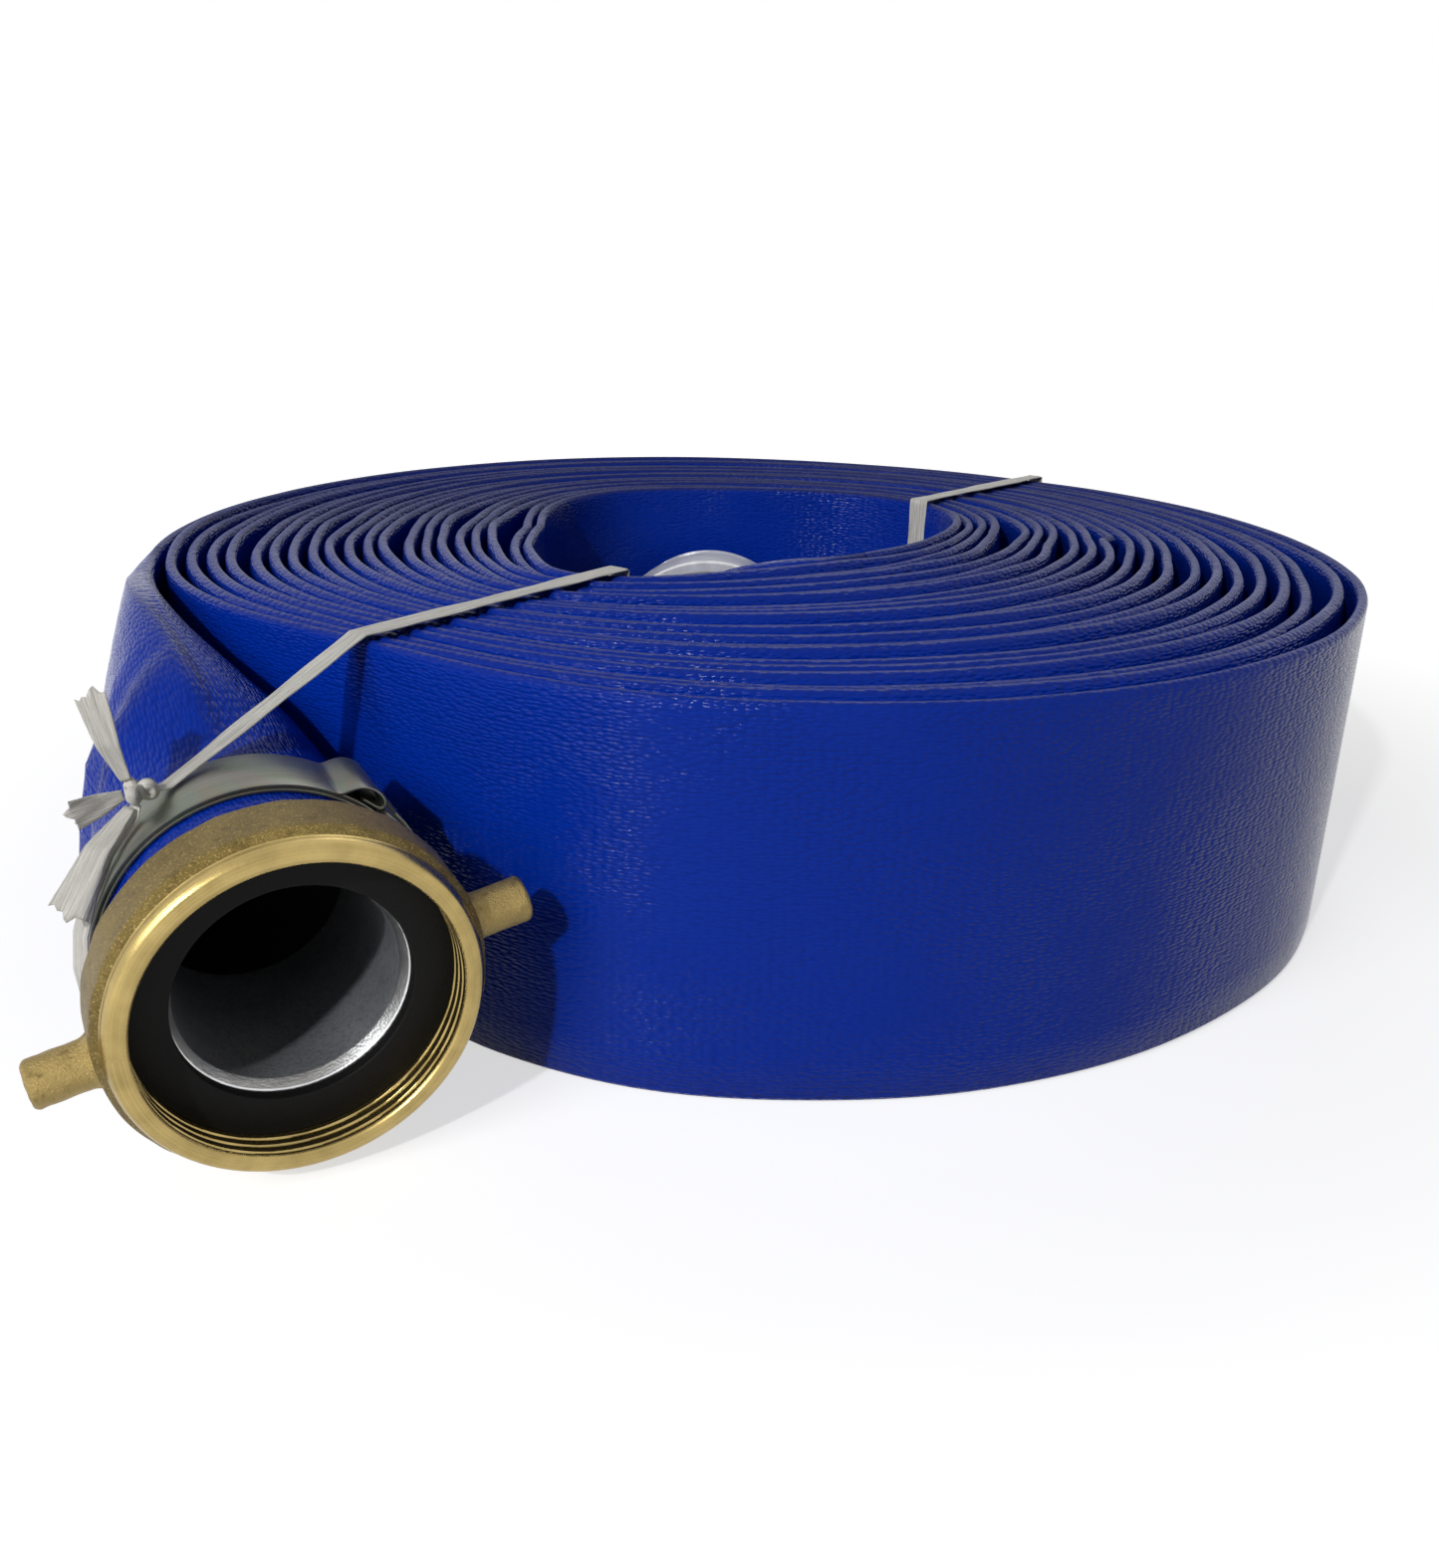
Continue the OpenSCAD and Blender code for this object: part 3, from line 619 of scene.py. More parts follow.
def coil_centre(a):
    turn = (a - INNER_ANGLE) / 360
    u = turn / TURNS
    r = (1 - u) * eye_radius(a) + u * rim_radius(a) + settled(a, turn)
    centre = r[:, None] * direction(a)
    centre[:, 1] += (1 - u) * EYE_OFFSET
    return centre


def run_and_out(path):
    run = np.gradient(path, axis=0)
    run /= np.linalg.norm(run, axis=1)[:, None]
    return run, np.stack([run[:, 1], -run[:, 0]], -1)


def length_along(path):
    return np.concatenate([[0], np.cumsum(np.linalg.norm(np.diff(path, axis=0), axis=1))])


def around(half):
    """Shares of the way round the flat hose from its bottom fold: up the outer face and down the inner one."""
    half = np.array(half) / 2
    return np.concatenate([half, 1 - half[-2:0:-1]])


COIL_SHARES = around((0, 0.015, 0.12, 0.3, 0.5, 0.64, 0.77, 0.87, 0.93, 0.97, 0.986, 0.995, 1))
TAIL_HALF = (0, 0.006, 0.016, 0.032, 0.055, 0.085, 0.125, 0.17, 0.225, 0.285, 0.355, 0.43)
TAIL_SHARES = around(TAIL_HALF + (0.5,) + tuple(1 - s for s in TAIL_HALF[::-1]))


def fold_profile(share):
    """Flat section at shares of the way round: side (1 outer, -1 inner), shares of height and thickness, and
    millimetres from the nearer fold."""
    face = np.where(share <= 0.5, 2 * share, 2 - 2 * share)
    side = np.where(share <= 0.5, 1.0, -1.0)
    from_fold = np.minimum(face, 1 - face) * FLAT_WIDTH
    nose = np.sqrt(1 - np.clip(1 - from_fold / FOLD_NOSE, 0, 1) ** 2)
    return side, face, nose, from_fold


def top_of_turn(a):
    """Height of the top fold: neighbouring turns stand a little higher or lower."""
    return FLAT_WIDTH - TOP_DROP + waves(np.radians(a), TOP_WAVES)


def under_turn(a):
    """Room for a tie under the roll."""
    return TIE_ROOM * sum(
        np.exp(-(wrapped(a - plane) / TIE_ROOM_ANGLE) ** 4) for plane in (FRONT_TIE_PLANE, REAR_TIE_PLANE)
    )


def coil_rings(a, shares):
    centre = coil_centre(a)
    _, out = run_and_out(centre)
    turn = (a - INNER_ANGLE) / 360
    beyond = np.minimum(a + 360, INNER_ANGLE + 360 * TURNS)
    pitch = np.linalg.norm(coil_centre(beyond), axis=1) - np.linalg.norm(centre, axis=1)
    front = frontness(a)
    spare = np.maximum(0, pitch - FLAT_THICKNESS - BULGE_CLEARANCE)
    bulge = np.where(turn < TURNS - 1, BULGE_SHARE * spare * front, 0)
    side, face, nose, from_fold = fold_profile(shares)
    low, high = under_turn(a), top_of_turn(a)
    height = low[:, None] + (high - low)[:, None] * face[None, :]
    half = 0.5 * FLAT_THICKNESS * (side * nose)[None, :]
    swell = bulge[:, None] * np.where(side > 0, 1 - np.exp(-from_fold / BULGE_REACH), 0)[None, :]
    offset = half + swell
    plan = centre[:, None, :] + offset[:, :, None] * out[:, None, :]
    rings = np.concatenate([plan + ROLL_MIDDLE, height[:, :, None]], -1)
    along = np.broadcast_to(length_along(centre)[:, None], offset.shape)
    across = np.broadcast_to(shares[None, :] * 2 * FLAT_WIDTH, offset.shape)
    # Less painted grey sheen on the folds at the front of the roll
    painted_sheen = np.broadcast_to((1 - FRONT_SHEEN_DROP * front)[:, None], offset.shape)
    return rings, np.stack([along, across, painted_sheen], -1)


def bezier(p, t):
    t = t[:, None]
    return (1 - t) ** 3 * p[0] + 3 * (1 - t) ** 2 * t * p[1] + 3 * (1 - t) * t * t * p[2] + t ** 3 * p[3]


def flare_rings(flat_point, flat_run, mouth, axis, up, ease, bow, back, high):
    """The hose opens from the flat end of the roll into the round sleeve, and bows away from the roll."""
    end = mouth - back * axis
    plan_axis = unit(axis[:2])
    route = [flat_point, flat_point + ease * flat_run, end[:2] - ease * plan_axis, end[:2]]
    t = np.linspace(0, 1, TAIL_STEPS)
    path = bezier(route, t)
    _, out = run_and_out(path)
    path = path + bow * (np.sin(np.pi * t) ** 2)[:, None] * out
    wide = 0.5 * FLAT_THICKNESS + (SLEEVE_R - 0.5 * FLAT_THICKNESS) * t ** TAIL_SWELL
    tall = FLAT_WIDTH / 2 - (FLAT_WIDTH / 2 - SLEEVE_R) * (wide / SLEEVE_R) ** TAIL_TAPER
    middle = FLAT_WIDTH / 2 + (end[2] - FLAT_WIDTH / 2) * t * t
    side, face, nose, _ = fold_profile(TAIL_SHARES)
    turn = np.pi * face
    mix = smooth(t / ROUND_FROM)[:, None]
    unlevel = (1 - smooth(t / LEVEL_FROM))[:, None]
    x = wide[:, None] * side * ((1 - mix) * nose + mix * np.sin(turn))
    flat_z = (2 * face - 1)[None, :] * (1 + (high / FLAT_WIDTH - 1) * unlevel)
    z = tall[:, None] * ((1 - mix) * flat_z - mix * np.cos(turn))
    z += (high - FLAT_WIDTH) / 2 * unlevel
    lean = (1 - t)[:, None] * UP + t[:, None] * up
    lean /= np.linalg.norm(lean, axis=1)[:, None]
    base = np.concatenate([path, middle[:, None]], 1)
    flat_out = np.concatenate([out, np.zeros((len(t), 1))], 1)
    rings = base[:, None, :] + x[:, :, None] * flat_out[:, None, :] + z[:, :, None] * lean[:, None, :]
    return rings, length_along(path)


def sleeve_rings(mouth, axis, left, up, stations):
    """Round hose on a shank: stations and radii from the flare forward, round the lip and back inside."""
    side, face, _, _ = fold_profile(TAIL_SHARES)
    ring = side[:, None] * np.sin(np.pi * face)[:, None] * left - np.cos(np.pi * face)[:, None] * up
    return np.array([mouth - s * axis + r * ring for s, r in stations])


def creased(rings):
    """The outer tail with its fullness, creases over its outer side and puckers that run into the band, and how much
    painted grey sheen lies along the creases."""
    t = np.linspace(0, 1, TAIL_STEPS)[:, None]
    side, face, _, _ = fold_profile(TAIL_SHARES)
    face, side = face[None, :], side[None, :]
    outer = np.where(side > 0, np.sin(np.pi * face) ** 0.7, 0)
    top = np.clip(-np.cos(np.pi * face), 0, 1) ** 2
    shift = np.zeros(rings.shape[:2])
    crease_sheen = np.zeros_like(shift)
    for start, end, depth, spread in TAIL_CREASES:
        line = start[1] + (end[1] - start[1]) * (t - start[0]) / (end[0] - start[0])
        reach = outer * smooth((t - start[0]) / CREASE_FADE) * smooth((end[0] - t) / CREASE_FADE)
        away = (face - line) / spread
        shoulders = SHOULDER_HEIGHT * np.exp(-(np.abs(away) - SHOULDER_AWAY) ** 2)
        shift -= depth * reach * (np.exp(-away ** 2) - shoulders)
        crease_sheen += CREASE_SHEEN * depth / 2 * reach * np.exp(-((away - 1.5) / 0.7) ** 2)
    pucker = PUCKER_HEIGHT * waves(np.pi * face * side, PUCKERS)
    shift += pucker * smooth((t - 0.55) / 0.3) * smooth((1 - t) / 0.03)
    shift += TAIL_FULLNESS * outer * smooth(t / 0.4) * smooth((1 - t) / 0.22)
    shift += TOP_FULLNESS * top * smooth((t - 0.2) / 0.4) * smooth((1 - t) / 0.15)
    outward = rings - rings.mean(axis=1, keepdims=True)
    outward /= np.linalg.norm(outward, axis=2, keepdims=True) + 1e-6
    return rings + shift[:, :, None] * outward, crease_sheen


def tail(flat_point, flat_run, mouth, axis, left, ease, bow, front, back, high, crease):
    """Rings and marks of an end of the hose, from the roll to the inside of the sleeve on its coupling."""
    up = np.cross(left, axis)
    rings, along = flare_rings(flat_point, flat_run, mouth, axis, up, ease, bow, back, high)
    crease_sheen = np.zeros(rings.shape[:2])
    if crease:
        rings, crease_sheen = creased(rings)
    step = (back - front - 0.6) / SLEEVE_STEPS
    stations = [(back - k * step, SLEEVE_R) for k in range(1, SLEEVE_STEPS + 1)]
    stations += [(front + 0.2, SLEEVE_R - 0.15), (front, SLEEVE_R - 0.5), (front, SLEEVE_BORE_R + 0.3)]
    stations += [(front + 0.3, SLEEVE_BORE_R), (front + 6, SLEEVE_BORE_R)]
    collar = sleeve_rings(mouth, axis, left, up, stations)
    along = np.concatenate([along, along[-1] + back - np.array([s for s, _ in stations])])
    rings = np.concatenate([rings, collar])
    across = np.broadcast_to(TAIL_SHARES[None, :] * 2 * FLAT_WIDTH, rings.shape[:2])
    # Painted grey sheen on the folds near the roll, fading along the tail; the crease sheen goes in below 0
    painted_sheen = np.repeat(1 - smooth(along / SHEEN_FADE)[:, None], rings.shape[1], axis=1)
    painted_sheen[:len(crease_sheen)] -= crease_sheen
    return rings, np.stack([np.broadcast_to(along[:, None], rings.shape[:2]), across, painted_sheen], -1)


def lining(rings, weave):
    """Inner wall of an opening tail: its wider half, set in by the hose's wall and closed where the hose is flat."""
    rings, weave = rings[LINING_START:TAIL_STEPS][::-1], weave[LINING_START:TAIL_STEPS][::-1]
    middle = rings.mean(axis=1, keepdims=True)
    inward = middle - rings
    inner = rings + HOSE_WALL * inward / np.linalg.norm(inward, axis=2, keepdims=True)
    end = inner[-1:] * LINING_END + (1 - LINING_END) * middle[-1:]
    return skin(np.concatenate([inner, end]), 1, np.concatenate([weave, weave[-1:]]))


def make_hose(blue, dark):
    last = INNER_ANGLE + 360 * TURNS
    seam = last - SEAM_BACK
    wound = np.arange(INNER_ANGLE, seam + 0.001, RING_STEP)
    rings, weave = coil_rings(wound, COIL_SHARES)
    coil = skin(rings, 0, weave)
    everything = coil_centre(np.arange(INNER_ANGLE, last + 0.001, RING_STEP))
    run, _ = run_and_out(everything)
    lead, lead_weave = coil_rings(np.arange(wound[-1], last + 0.001, RING_STEP), TAIL_SHARES)
    lead_weave[:, :, 0] += weave[-1, 0, 0]
    flare, flare_weave = tail(
        everything[-1] + ROLL_MIDDLE, run[-1], NUT_MOUTH, NUT_AXIS, NUT_LEFT, OUTER_EASE, OUTER_BOW, HOSE_FRONT,
        SHANK_BACK, top_of_turn(np.array([last]))[0], True,
    )
    flare_weave[:, :, 0] += lead_weave[-1, 0, 0]
    outer = skin(np.concatenate([lead, flare[1:]]), 0, np.concatenate([lead_weave, flare_weave[1:]]))
    inner_rings, inner_weave = tail(
        everything[0] + ROLL_MIDDLE, -run[0], MALE_MOUTH, MALE_AXIS, MALE_LEFT, INNER_EASE, 0, MALE_HOSE_FRONT,
        MALE_SHANK_BACK, top_of_turn(np.array([float(INNER_ANGLE)]))[0], False,
    )
    inner = skin(inner_rings, 0, inner_weave)
    walls = [lining(flare, flare_weave), lining(inner_rings, inner_weave)]
    return piece(
        "hose", [coil, outer, inner] + walls, [blue, dark], "roll",
        ["hose_coil", "hose_outer_tail", "hose_inner_tail"], 55,
    )


# Turned and cast pieces

def eased(points, radius, steps=4):
    """Closed outline with its corners rounded."""
    points = [np.array(p, float) for p in points]
    result = []
    for k, c in enumerate(points):
        a, b = points[k - 1], points[(k + 1) % len(points)]
        before, after = np.linalg.norm(a - c), np.linalg.norm(b - c)
        start = c + (a - c) * min(radius / before, 0.45)
        end = c + (b - c) * min(radius / after, 0.45)
        for t in np.linspace(0, 1, steps):
            result.append((1 - t) ** 2 * start + 2 * t * (1 - t) * c + t * t * end)
    return np.array(result)


def turned(mouth, axis, left, outline, segments=SEGMENTS):
    """The outline (radius, station behind the mouth) turned about the axis; a radius may be a row of values."""
    up = np.cross(left, axis)
    angle = 2 * np.pi * np.arange(segments) / segments
    spoke = np.cos(angle)[:, None] * left + np.sin(angle)[:, None] * up
    return np.array([mouth - s * axis + np.broadcast_to(r, (segments,))[:, None] * spoke for r, s in outline])


def closed(rings):
    return np.concatenate([rings, rings[:1]])


def lathe(mouth, axis, left, outline, segments=SEGMENTS):
    """A closed outline turned into a part, with its marks running round the axis and along the outline."""
    rings = closed(turned(mouth, axis, left, outline, segments))
    flat = np.array([(np.max(r), s) for r, s in outline] + [(np.max(outline[0][0]), outline[0][1])])
    across = np.broadcast_to(length_along(flat)[:, None], rings.shape[:2])
    along = np.broadcast_to(SLEEVE_R * 2 * np.pi * np.arange(segments)[None, :] / segments, rings.shape[:2])
    return skin(rings, 0, np.stack([along, across], -1))


def thread_rows(radius, depth, start, end, segments, outward):
    """Rows of a screw thread between two stations: smooth crests with one narrow groove for each turn."""
    angle = np.arange(segments) / segments
    rows = []
    for s in np.linspace(start, end, int(abs(end - start) / THREAD_STEP) + 2):
        phase = (s / THREAD_PITCH + angle) % 1
        cut = np.maximum(0, 1 - np.abs(phase - 0.5) / THREAD_GROOVE)
        fade = min(1, abs(s - start) / THREAD_FADE, abs(s - end) / THREAD_FADE)
        rows.append((radius + outward * depth * cut * fade, s))
    return rows


def lug(mouth, axis, left, tilt, station, body_r, seed, index=0):
    """Round lug cast on a coupling body, with a fillet at its root and a rounded end."""
    up = np.cross(left, axis)
    way = math.cos(math.radians(tilt)) * -left + math.sin(math.radians(tilt)) * up
    side = np.cross(axis, way)
    outline = [(LUG_R + 1.3, -1.2), (LUG_R + 0.8, -0.4), (LUG_R + 0.35, 0.2), (LUG_R + 0.1, 0.7)]
    outline += [(LUG_R, x) for x in np.linspace(1.3, LUG_LENGTH - LUG_ROUND, 9)]
    for t in np.linspace(0.3, 1.57, 5):
        outline.append((LUG_R - LUG_ROUND * (1 - math.cos(t)), LUG_LENGTH - LUG_ROUND + LUG_ROUND * math.sin(t)))
    outline += [(1.6, LUG_LENGTH), (0.05, LUG_LENGTH)]
    angle = 2 * np.pi * np.arange(LUG_SEGMENTS) / LUG_SEGMENTS
    spoke = np.cos(angle)[:, None] * axis + np.sin(angle)[:, None] * side
    base = mouth - station * axis + body_r * way
    rings = np.array([base + x * way + r * spoke for r, x in outline])
    points, faces, _, weave = skin(rings)
    return rough(points, 1.6, 0.16, seed), faces, index, weave


def make_nut(cast, machined, bright):
    """Nut with turned brass on its rim and inside, rough cast brass outside, and lugs in a lighter copy of the cast
    brass: painted light.
    """
    body = eased([
        (NUT_RIM_R - 2.24, 0), (NUT_RIM_R - 0.74, 0.45), (NUT_RIM_R, 1.7), (NUT_RIM_R, 3), (NUT_BODY_R, 4.6),
        (NUT_BODY_R, 15.2), (NUT_BODY_R - 2.5, NUT_BACK), (LIP_BORE_R, NUT_BACK), (LIP_BORE_R, LIP_FRONT),
        (RECESS_R, LIP_FRONT), (RECESS_R, THREAD_END),
    ], 0.55)[3:-3]
    rows = [(r, s) for r, s in body]
    rows += thread_rows(THREAD_R, 0.5 * THREAD_DEPTH, THREAD_END, 0.7, NUT_SEGMENTS, 1)
    rows += [(THREAD_R + 0.36, 0.22), (THREAD_R + 0.60, 0.05), (NUT_RIM_R - 2.8, 0), (NUT_RIM_R - 2.3, 0)]
    points, faces, _, weave = lathe(NUT_MOUTH, NUT_AXIS, NUT_LEFT, rows, NUT_SEGMENTS)
    station = np.array([s for _, s in rows] + [rows[0][1]])
    radius = np.array([np.max(r) for r, _ in rows] + [rows[0][0]])
    clean = (station <= 3.2) | (radius < RECESS_R + 0.2)
    index = np.repeat(np.where(clean[:-1] & clean[1:], 1, 0), NUT_SEGMENTS)
    wobble = rough(points, 5.0, 0.22)
    keep = np.repeat(clean, NUT_SEGMENTS)[:, None]
    points = np.where(keep, points, wobble)
    parts = [(points, faces, index, weave)]
    # The lugs take a lighter copy of the cast brass: painted light
    for k, tilt in enumerate((LUG_TILT, LUG_TILT + 180)):
        parts.append(lug(NUT_MOUTH, NUT_AXIS, NUT_LEFT, tilt, LUG_STATION, NUT_BODY_R, 3 + k, 2))
    return piece("swivel_nut_cast", parts, [cast, machined, bright], "swivel", ["swivel_nut"])


def make_gasket(rubber):
    outline = eased([
        (GASKET_BORE_R, THREAD_END + 0.1), (RECESS_R - 0.1, THREAD_END + 0.1), (RECESS_R - 0.1, GASKET_BACK),
        (GASKET_BORE_R, GASKET_BACK),
    ], 0.4)
    ring = lathe(NUT_MOUTH, NUT_AXIS, NUT_LEFT, outline)
    return piece("gasket_ring", [ring], [rubber], "swivel", ["swivel_gasket"])


def ridges(start, length, count=5, depth=0.8):
    rows = []
    for k in range(count):
        s = start + k * length / count
        rows += [(SHANK_R - depth, s), (SHANK_R, s + 0.5), (SHANK_R, s + 1.5)]
    return rows + [(SHANK_R - depth, start + length)]


def make_shank(metal, dark):
    """Shank with a bright machined edge at the front of its bore and the rest of the bore left as cast."""
    outline = [(BORE_R + BORE_EDGE, SHANK_FRONT), (COLLAR_R, SHANK_FRONT), (COLLAR_R, COLLAR_BACK)]
    outline += [(SHANK_R, COLLAR_BACK), (SHANK_R, HOSE_FRONT)] + ridges(HOSE_FRONT, SHANK_BACK - HOSE_FRONT)
    outline += [(BORE_R, SHANK_BACK), (BORE_R, SHANK_FRONT + BORE_EDGE_DEPTH)]
    outline = eased(outline, 0.3, 3)
    points, faces, _, weave = lathe(NUT_MOUTH, NUT_AXIS, NUT_LEFT, outline)
    as_cast = (outline[:, 0] < BORE_R + 0.1) & (outline[:, 1] > SHANK_FRONT + 2)
    as_cast = np.append(as_cast, as_cast[0])
    index = np.repeat(np.where(as_cast[:-1] & as_cast[1:], 1, 0), SEGMENTS)
    part = (points, faces, index, weave)
    return piece("swivel_shank_cast", [part], [metal, dark], "roll", ["swivel_shank"])


def strap_ring(mouth, axis, left, low, high, front, back):
    return lathe(mouth, axis, left, eased([(low, front), (high, front), (high, back), (low, back)], 0.25, 3))


def make_band(name, mouth, axis, left, middle, metal, node):
    """The strap goes round twice: an inner wrap and an outer one that lies a little further back."""
    front, back = middle - BAND_WIDTH / 2, middle + BAND_WIDTH / 2
    inner = strap_ring(mouth, axis, left, BAND_BORE_R, BAND_BORE_R + 0.72, front, back - 0.5)
    outer = strap_ring(mouth, axis, left, BAND_BORE_R + 0.76, BAND_R, front + 0.5, back)
    return piece(name, [inner, outer], [metal], "roll", [node], 30)


def strap_run(mouth, axis, left, middle, path, width, thickness):
    """Strap that follows (angle, radius) about the axis, bent like real strap, with eased edges."""
    up = np.cross(left, axis)
    angle = np.radians([a for a, _ in path])
    radius = np.array([r for _, r in path])
    flat = np.stack([radius * np.cos(angle), radius * np.sin(angle)], -1)
    _, out = run_and_out(flat)
    section = eased([(-width / 2, 0), (width / 2, 0), (width / 2, thickness), (-width / 2, thickness)], 0.2, 3)
    rings = []
    for p, n in zip(flat, out):
        place_here = [p - n * y for _, y in section]
        rings.append([
            mouth - (middle + x) * axis + q[0] * -left + q[1] * up for (x, _), q in zip(section, place_here)
        ])
    return skin(np.array(rings), 0, None, True)


def cornerless(points):
    """An open line with its corners cut, twice over."""
    points = np.array(points, float)
    for _ in range(2):
        cut = np.stack([0.75 * points[:-1] + 0.25 * points[1:], 0.25 * points[:-1] + 0.75 * points[1:]], 1)
        points = np.concatenate([points[:1], cut.reshape(-1, 2), points[-1:]])
    return points


def make_buckle(name, mouth, axis, left, middle, angle, metal, node):
    """Buckle body with the folded end of the strap standing up in a low loop behind it."""
    low = BAND_R + 0.1
    shape = (
        (17, -0.69), (14.5, -0.45), (12, 1.1), (9.5, 2.4), (6, 3.0), (2.5, 2.8), (0, 1.9), (0.5, 1.0), (3.5, 0.85),
        (7, 0.85),
    )
    loop = [(angle + turn, low + rise) for turn, rise in shape]
    body = [(angle - turn, low) for turn in (1, 6, 11, 16.5)]
    strap = strap_run(mouth, axis, left, middle, cornerless(loop), BAND_WIDTH - 0.6, 0.6)
    block = strap_run(mouth, axis, left, middle, body, BAND_WIDTH + 3, 1.4)
    cover = strap_run(mouth, axis, left, middle, [(a, low + 1.45) for a, _ in body[1:]], BAND_WIDTH - 2, 0.75)
    return piece(name, [strap, block, cover], [metal], "roll", [node], 30)


def make_threaded_coupling(metal):
    front = [(BORE_R, 1.0), (BORE_R + 1.0, 0), (MALE_THREAD_R - 1.2, 0), (MALE_THREAD_R, 1.2)]
    threads = thread_rows(MALE_THREAD_R, THREAD_DEPTH, 1.2, MALE_THREAD_LENGTH - 1.5, SEGMENTS, -1)
    rear = [(MALE_THREAD_R, MALE_THREAD_LENGTH - 0.2), (MALE_THREAD_R + 0.2, MALE_THREAD_LENGTH)]
    rear += [(MALE_RING_R - 0.6, MALE_THREAD_LENGTH), (MALE_RING_R, MALE_THREAD_LENGTH + 0.6)]
    rear += [(MALE_RING_R, MALE_RING_BACK - 0.6), (MALE_RING_R - 0.6, MALE_RING_BACK), (SHANK_R, MALE_RING_BACK)]
    rear += [(SHANK_R, MALE_HOSE_FRONT)] + ridges(MALE_HOSE_FRONT, MALE_SHANK_BACK - MALE_HOSE_FRONT)
    rear += [(BORE_R, MALE_SHANK_BACK)]
    rings = closed(turned(MALE_MOUTH, MALE_AXIS, MALE_LEFT, front + threads + rear))
    parts = [skin(rings)]
    station = MALE_THREAD_LENGTH + (MALE_RING_BACK - MALE_THREAD_LENGTH) / 2
    for k, tilt in enumerate((MALE_LUG_TILT, MALE_LUG_TILT + 180)):
        parts.append(lug(MALE_MOUTH, MALE_AXIS, MALE_LEFT, tilt, station, MALE_RING_R, 7 + k))
    return piece("threaded_coupling_cast", parts, [metal], "roll", ["threaded_coupling"])


# Ties of drawn-out film

def tie_path(route, plane):
    """Points in metres along a tie, close enough together for its folds and wrinkles, and the same in its plane."""
    flat = np.array(route)
    cut = []
    for a, b in zip(flat[:-1], flat[1:]):
        count = max(1, int(np.linalg.norm(b - a) / MM / TIE_STEP))
        cut += [a + (b - a) * k / count for k in range(count)]
    cut.append(flat[-1])
    cut = np.array(cut)
    out = direction(np.array(plane))
    middle = ROLL_MIDDLE * MM
    return np.stack([middle[0] + cut[:, 0] * out[0], middle[1] + cut[:, 0] * out[1], cut[:, 1]], -1), cut


def make_tie(name, route, plane, film, node):
    """A flat, wrinkled strip of film along its route, narrow at the knot and wider away from it."""
    path, flat = tie_path(route, plane)
    run = np.gradient(flat, axis=0)
    run /= np.linalg.norm(run, axis=1)[:, None] + 1e-9
    normal = np.stack([run[:, 1], -run[:, 0]], -1)
    out = direction(np.array(plane))
    face = np.stack([normal[:, 0] * out[0], normal[:, 0] * out[1], normal[:, 1]], -1)
    side = np.array([-out[1], out[0], 0])
    along = length_along(path / MM)
    angle = 2 * np.pi * (np.arange(12) + 0.5) / 12
    spread = TIE_AT_KNOT + TIE_GAIN * smooth(np.minimum(along, along[-1] - along) / TIE_GAIN_LENGTH)
    wide = TIE_WIDTH / 2 * spread * (1 + 0.10 * np.sin(along / 9) + 0.06 * np.sin(along / 3.1 + 1))
    ridge = 1 + 0.22 * np.sin(5 * angle[None, :] + 0.25 * along[:, None])
    x = wide[:, None] * np.sign(np.cos(angle)) * np.abs(np.cos(angle)) ** 0.7
    y = TIE_THICKNESS / 2 * ridge * np.sign(np.sin(angle)) * np.abs(np.sin(angle)) ** 0.7
    rings = path[:, None, :] / MM + x[:, :, None] * side + y[:, :, None] * face[:, None, :]
    weave = np.stack([np.broadcast_to(along[:, None], x.shape), np.broadcast_to(x + 2 * np.sign(y), x.shape)], -1)
    obj = piece(name, [skin(rings, 0, weave, True)], [film], "roll", [node], 50)


def make_knot(name, middle, toward, film, node):
    """An overhand knot: a strand of film that winds through itself."""
    rings, marks = [], []
    a = unit(np.array(toward, float))
    b = unit(np.cross(a, UP))
    c = np.cross(a, b)
    t = np.linspace(0, 2 * np.pi, 90)
    spine = np.stack([
        1.55 * np.sin(t) + 0.9 * np.sin(2 * t), 1.55 * np.cos(t) - 0.9 * np.cos(2 * t), 0.95 * np.sin(3 * t),
    ], -1) @ np.array([a, b, c])
    tangent = np.gradient(spine, axis=0)
    tangent /= np.linalg.norm(tangent, axis=1)[:, None]
    first = unit(np.cross(tangent[0], UP))
    angle = 2 * np.pi * np.arange(12) / 12
    for k, (p, d) in enumerate(zip(spine, tangent)):
        first = unit(first - np.dot(first, d) * d)
        second = np.cross(d, first)
        thick = 1.15 + 0.12 * math.sin(7 * t[k])
        lobes = thick * (1 + 0.1 * np.sin(4 * angle))
        rings.append(middle + p + lobes[:, None] * (np.cos(angle)[:, None] * first + np.sin(angle)[:, None] * second))
        marks.append(np.stack([np.full(12, 4 * t[k]), 3 * angle / 6.28], -1))
    return piece(name, [skin(np.array(rings), 0, np.array(marks), True)], [film], "roll", [node], 60)


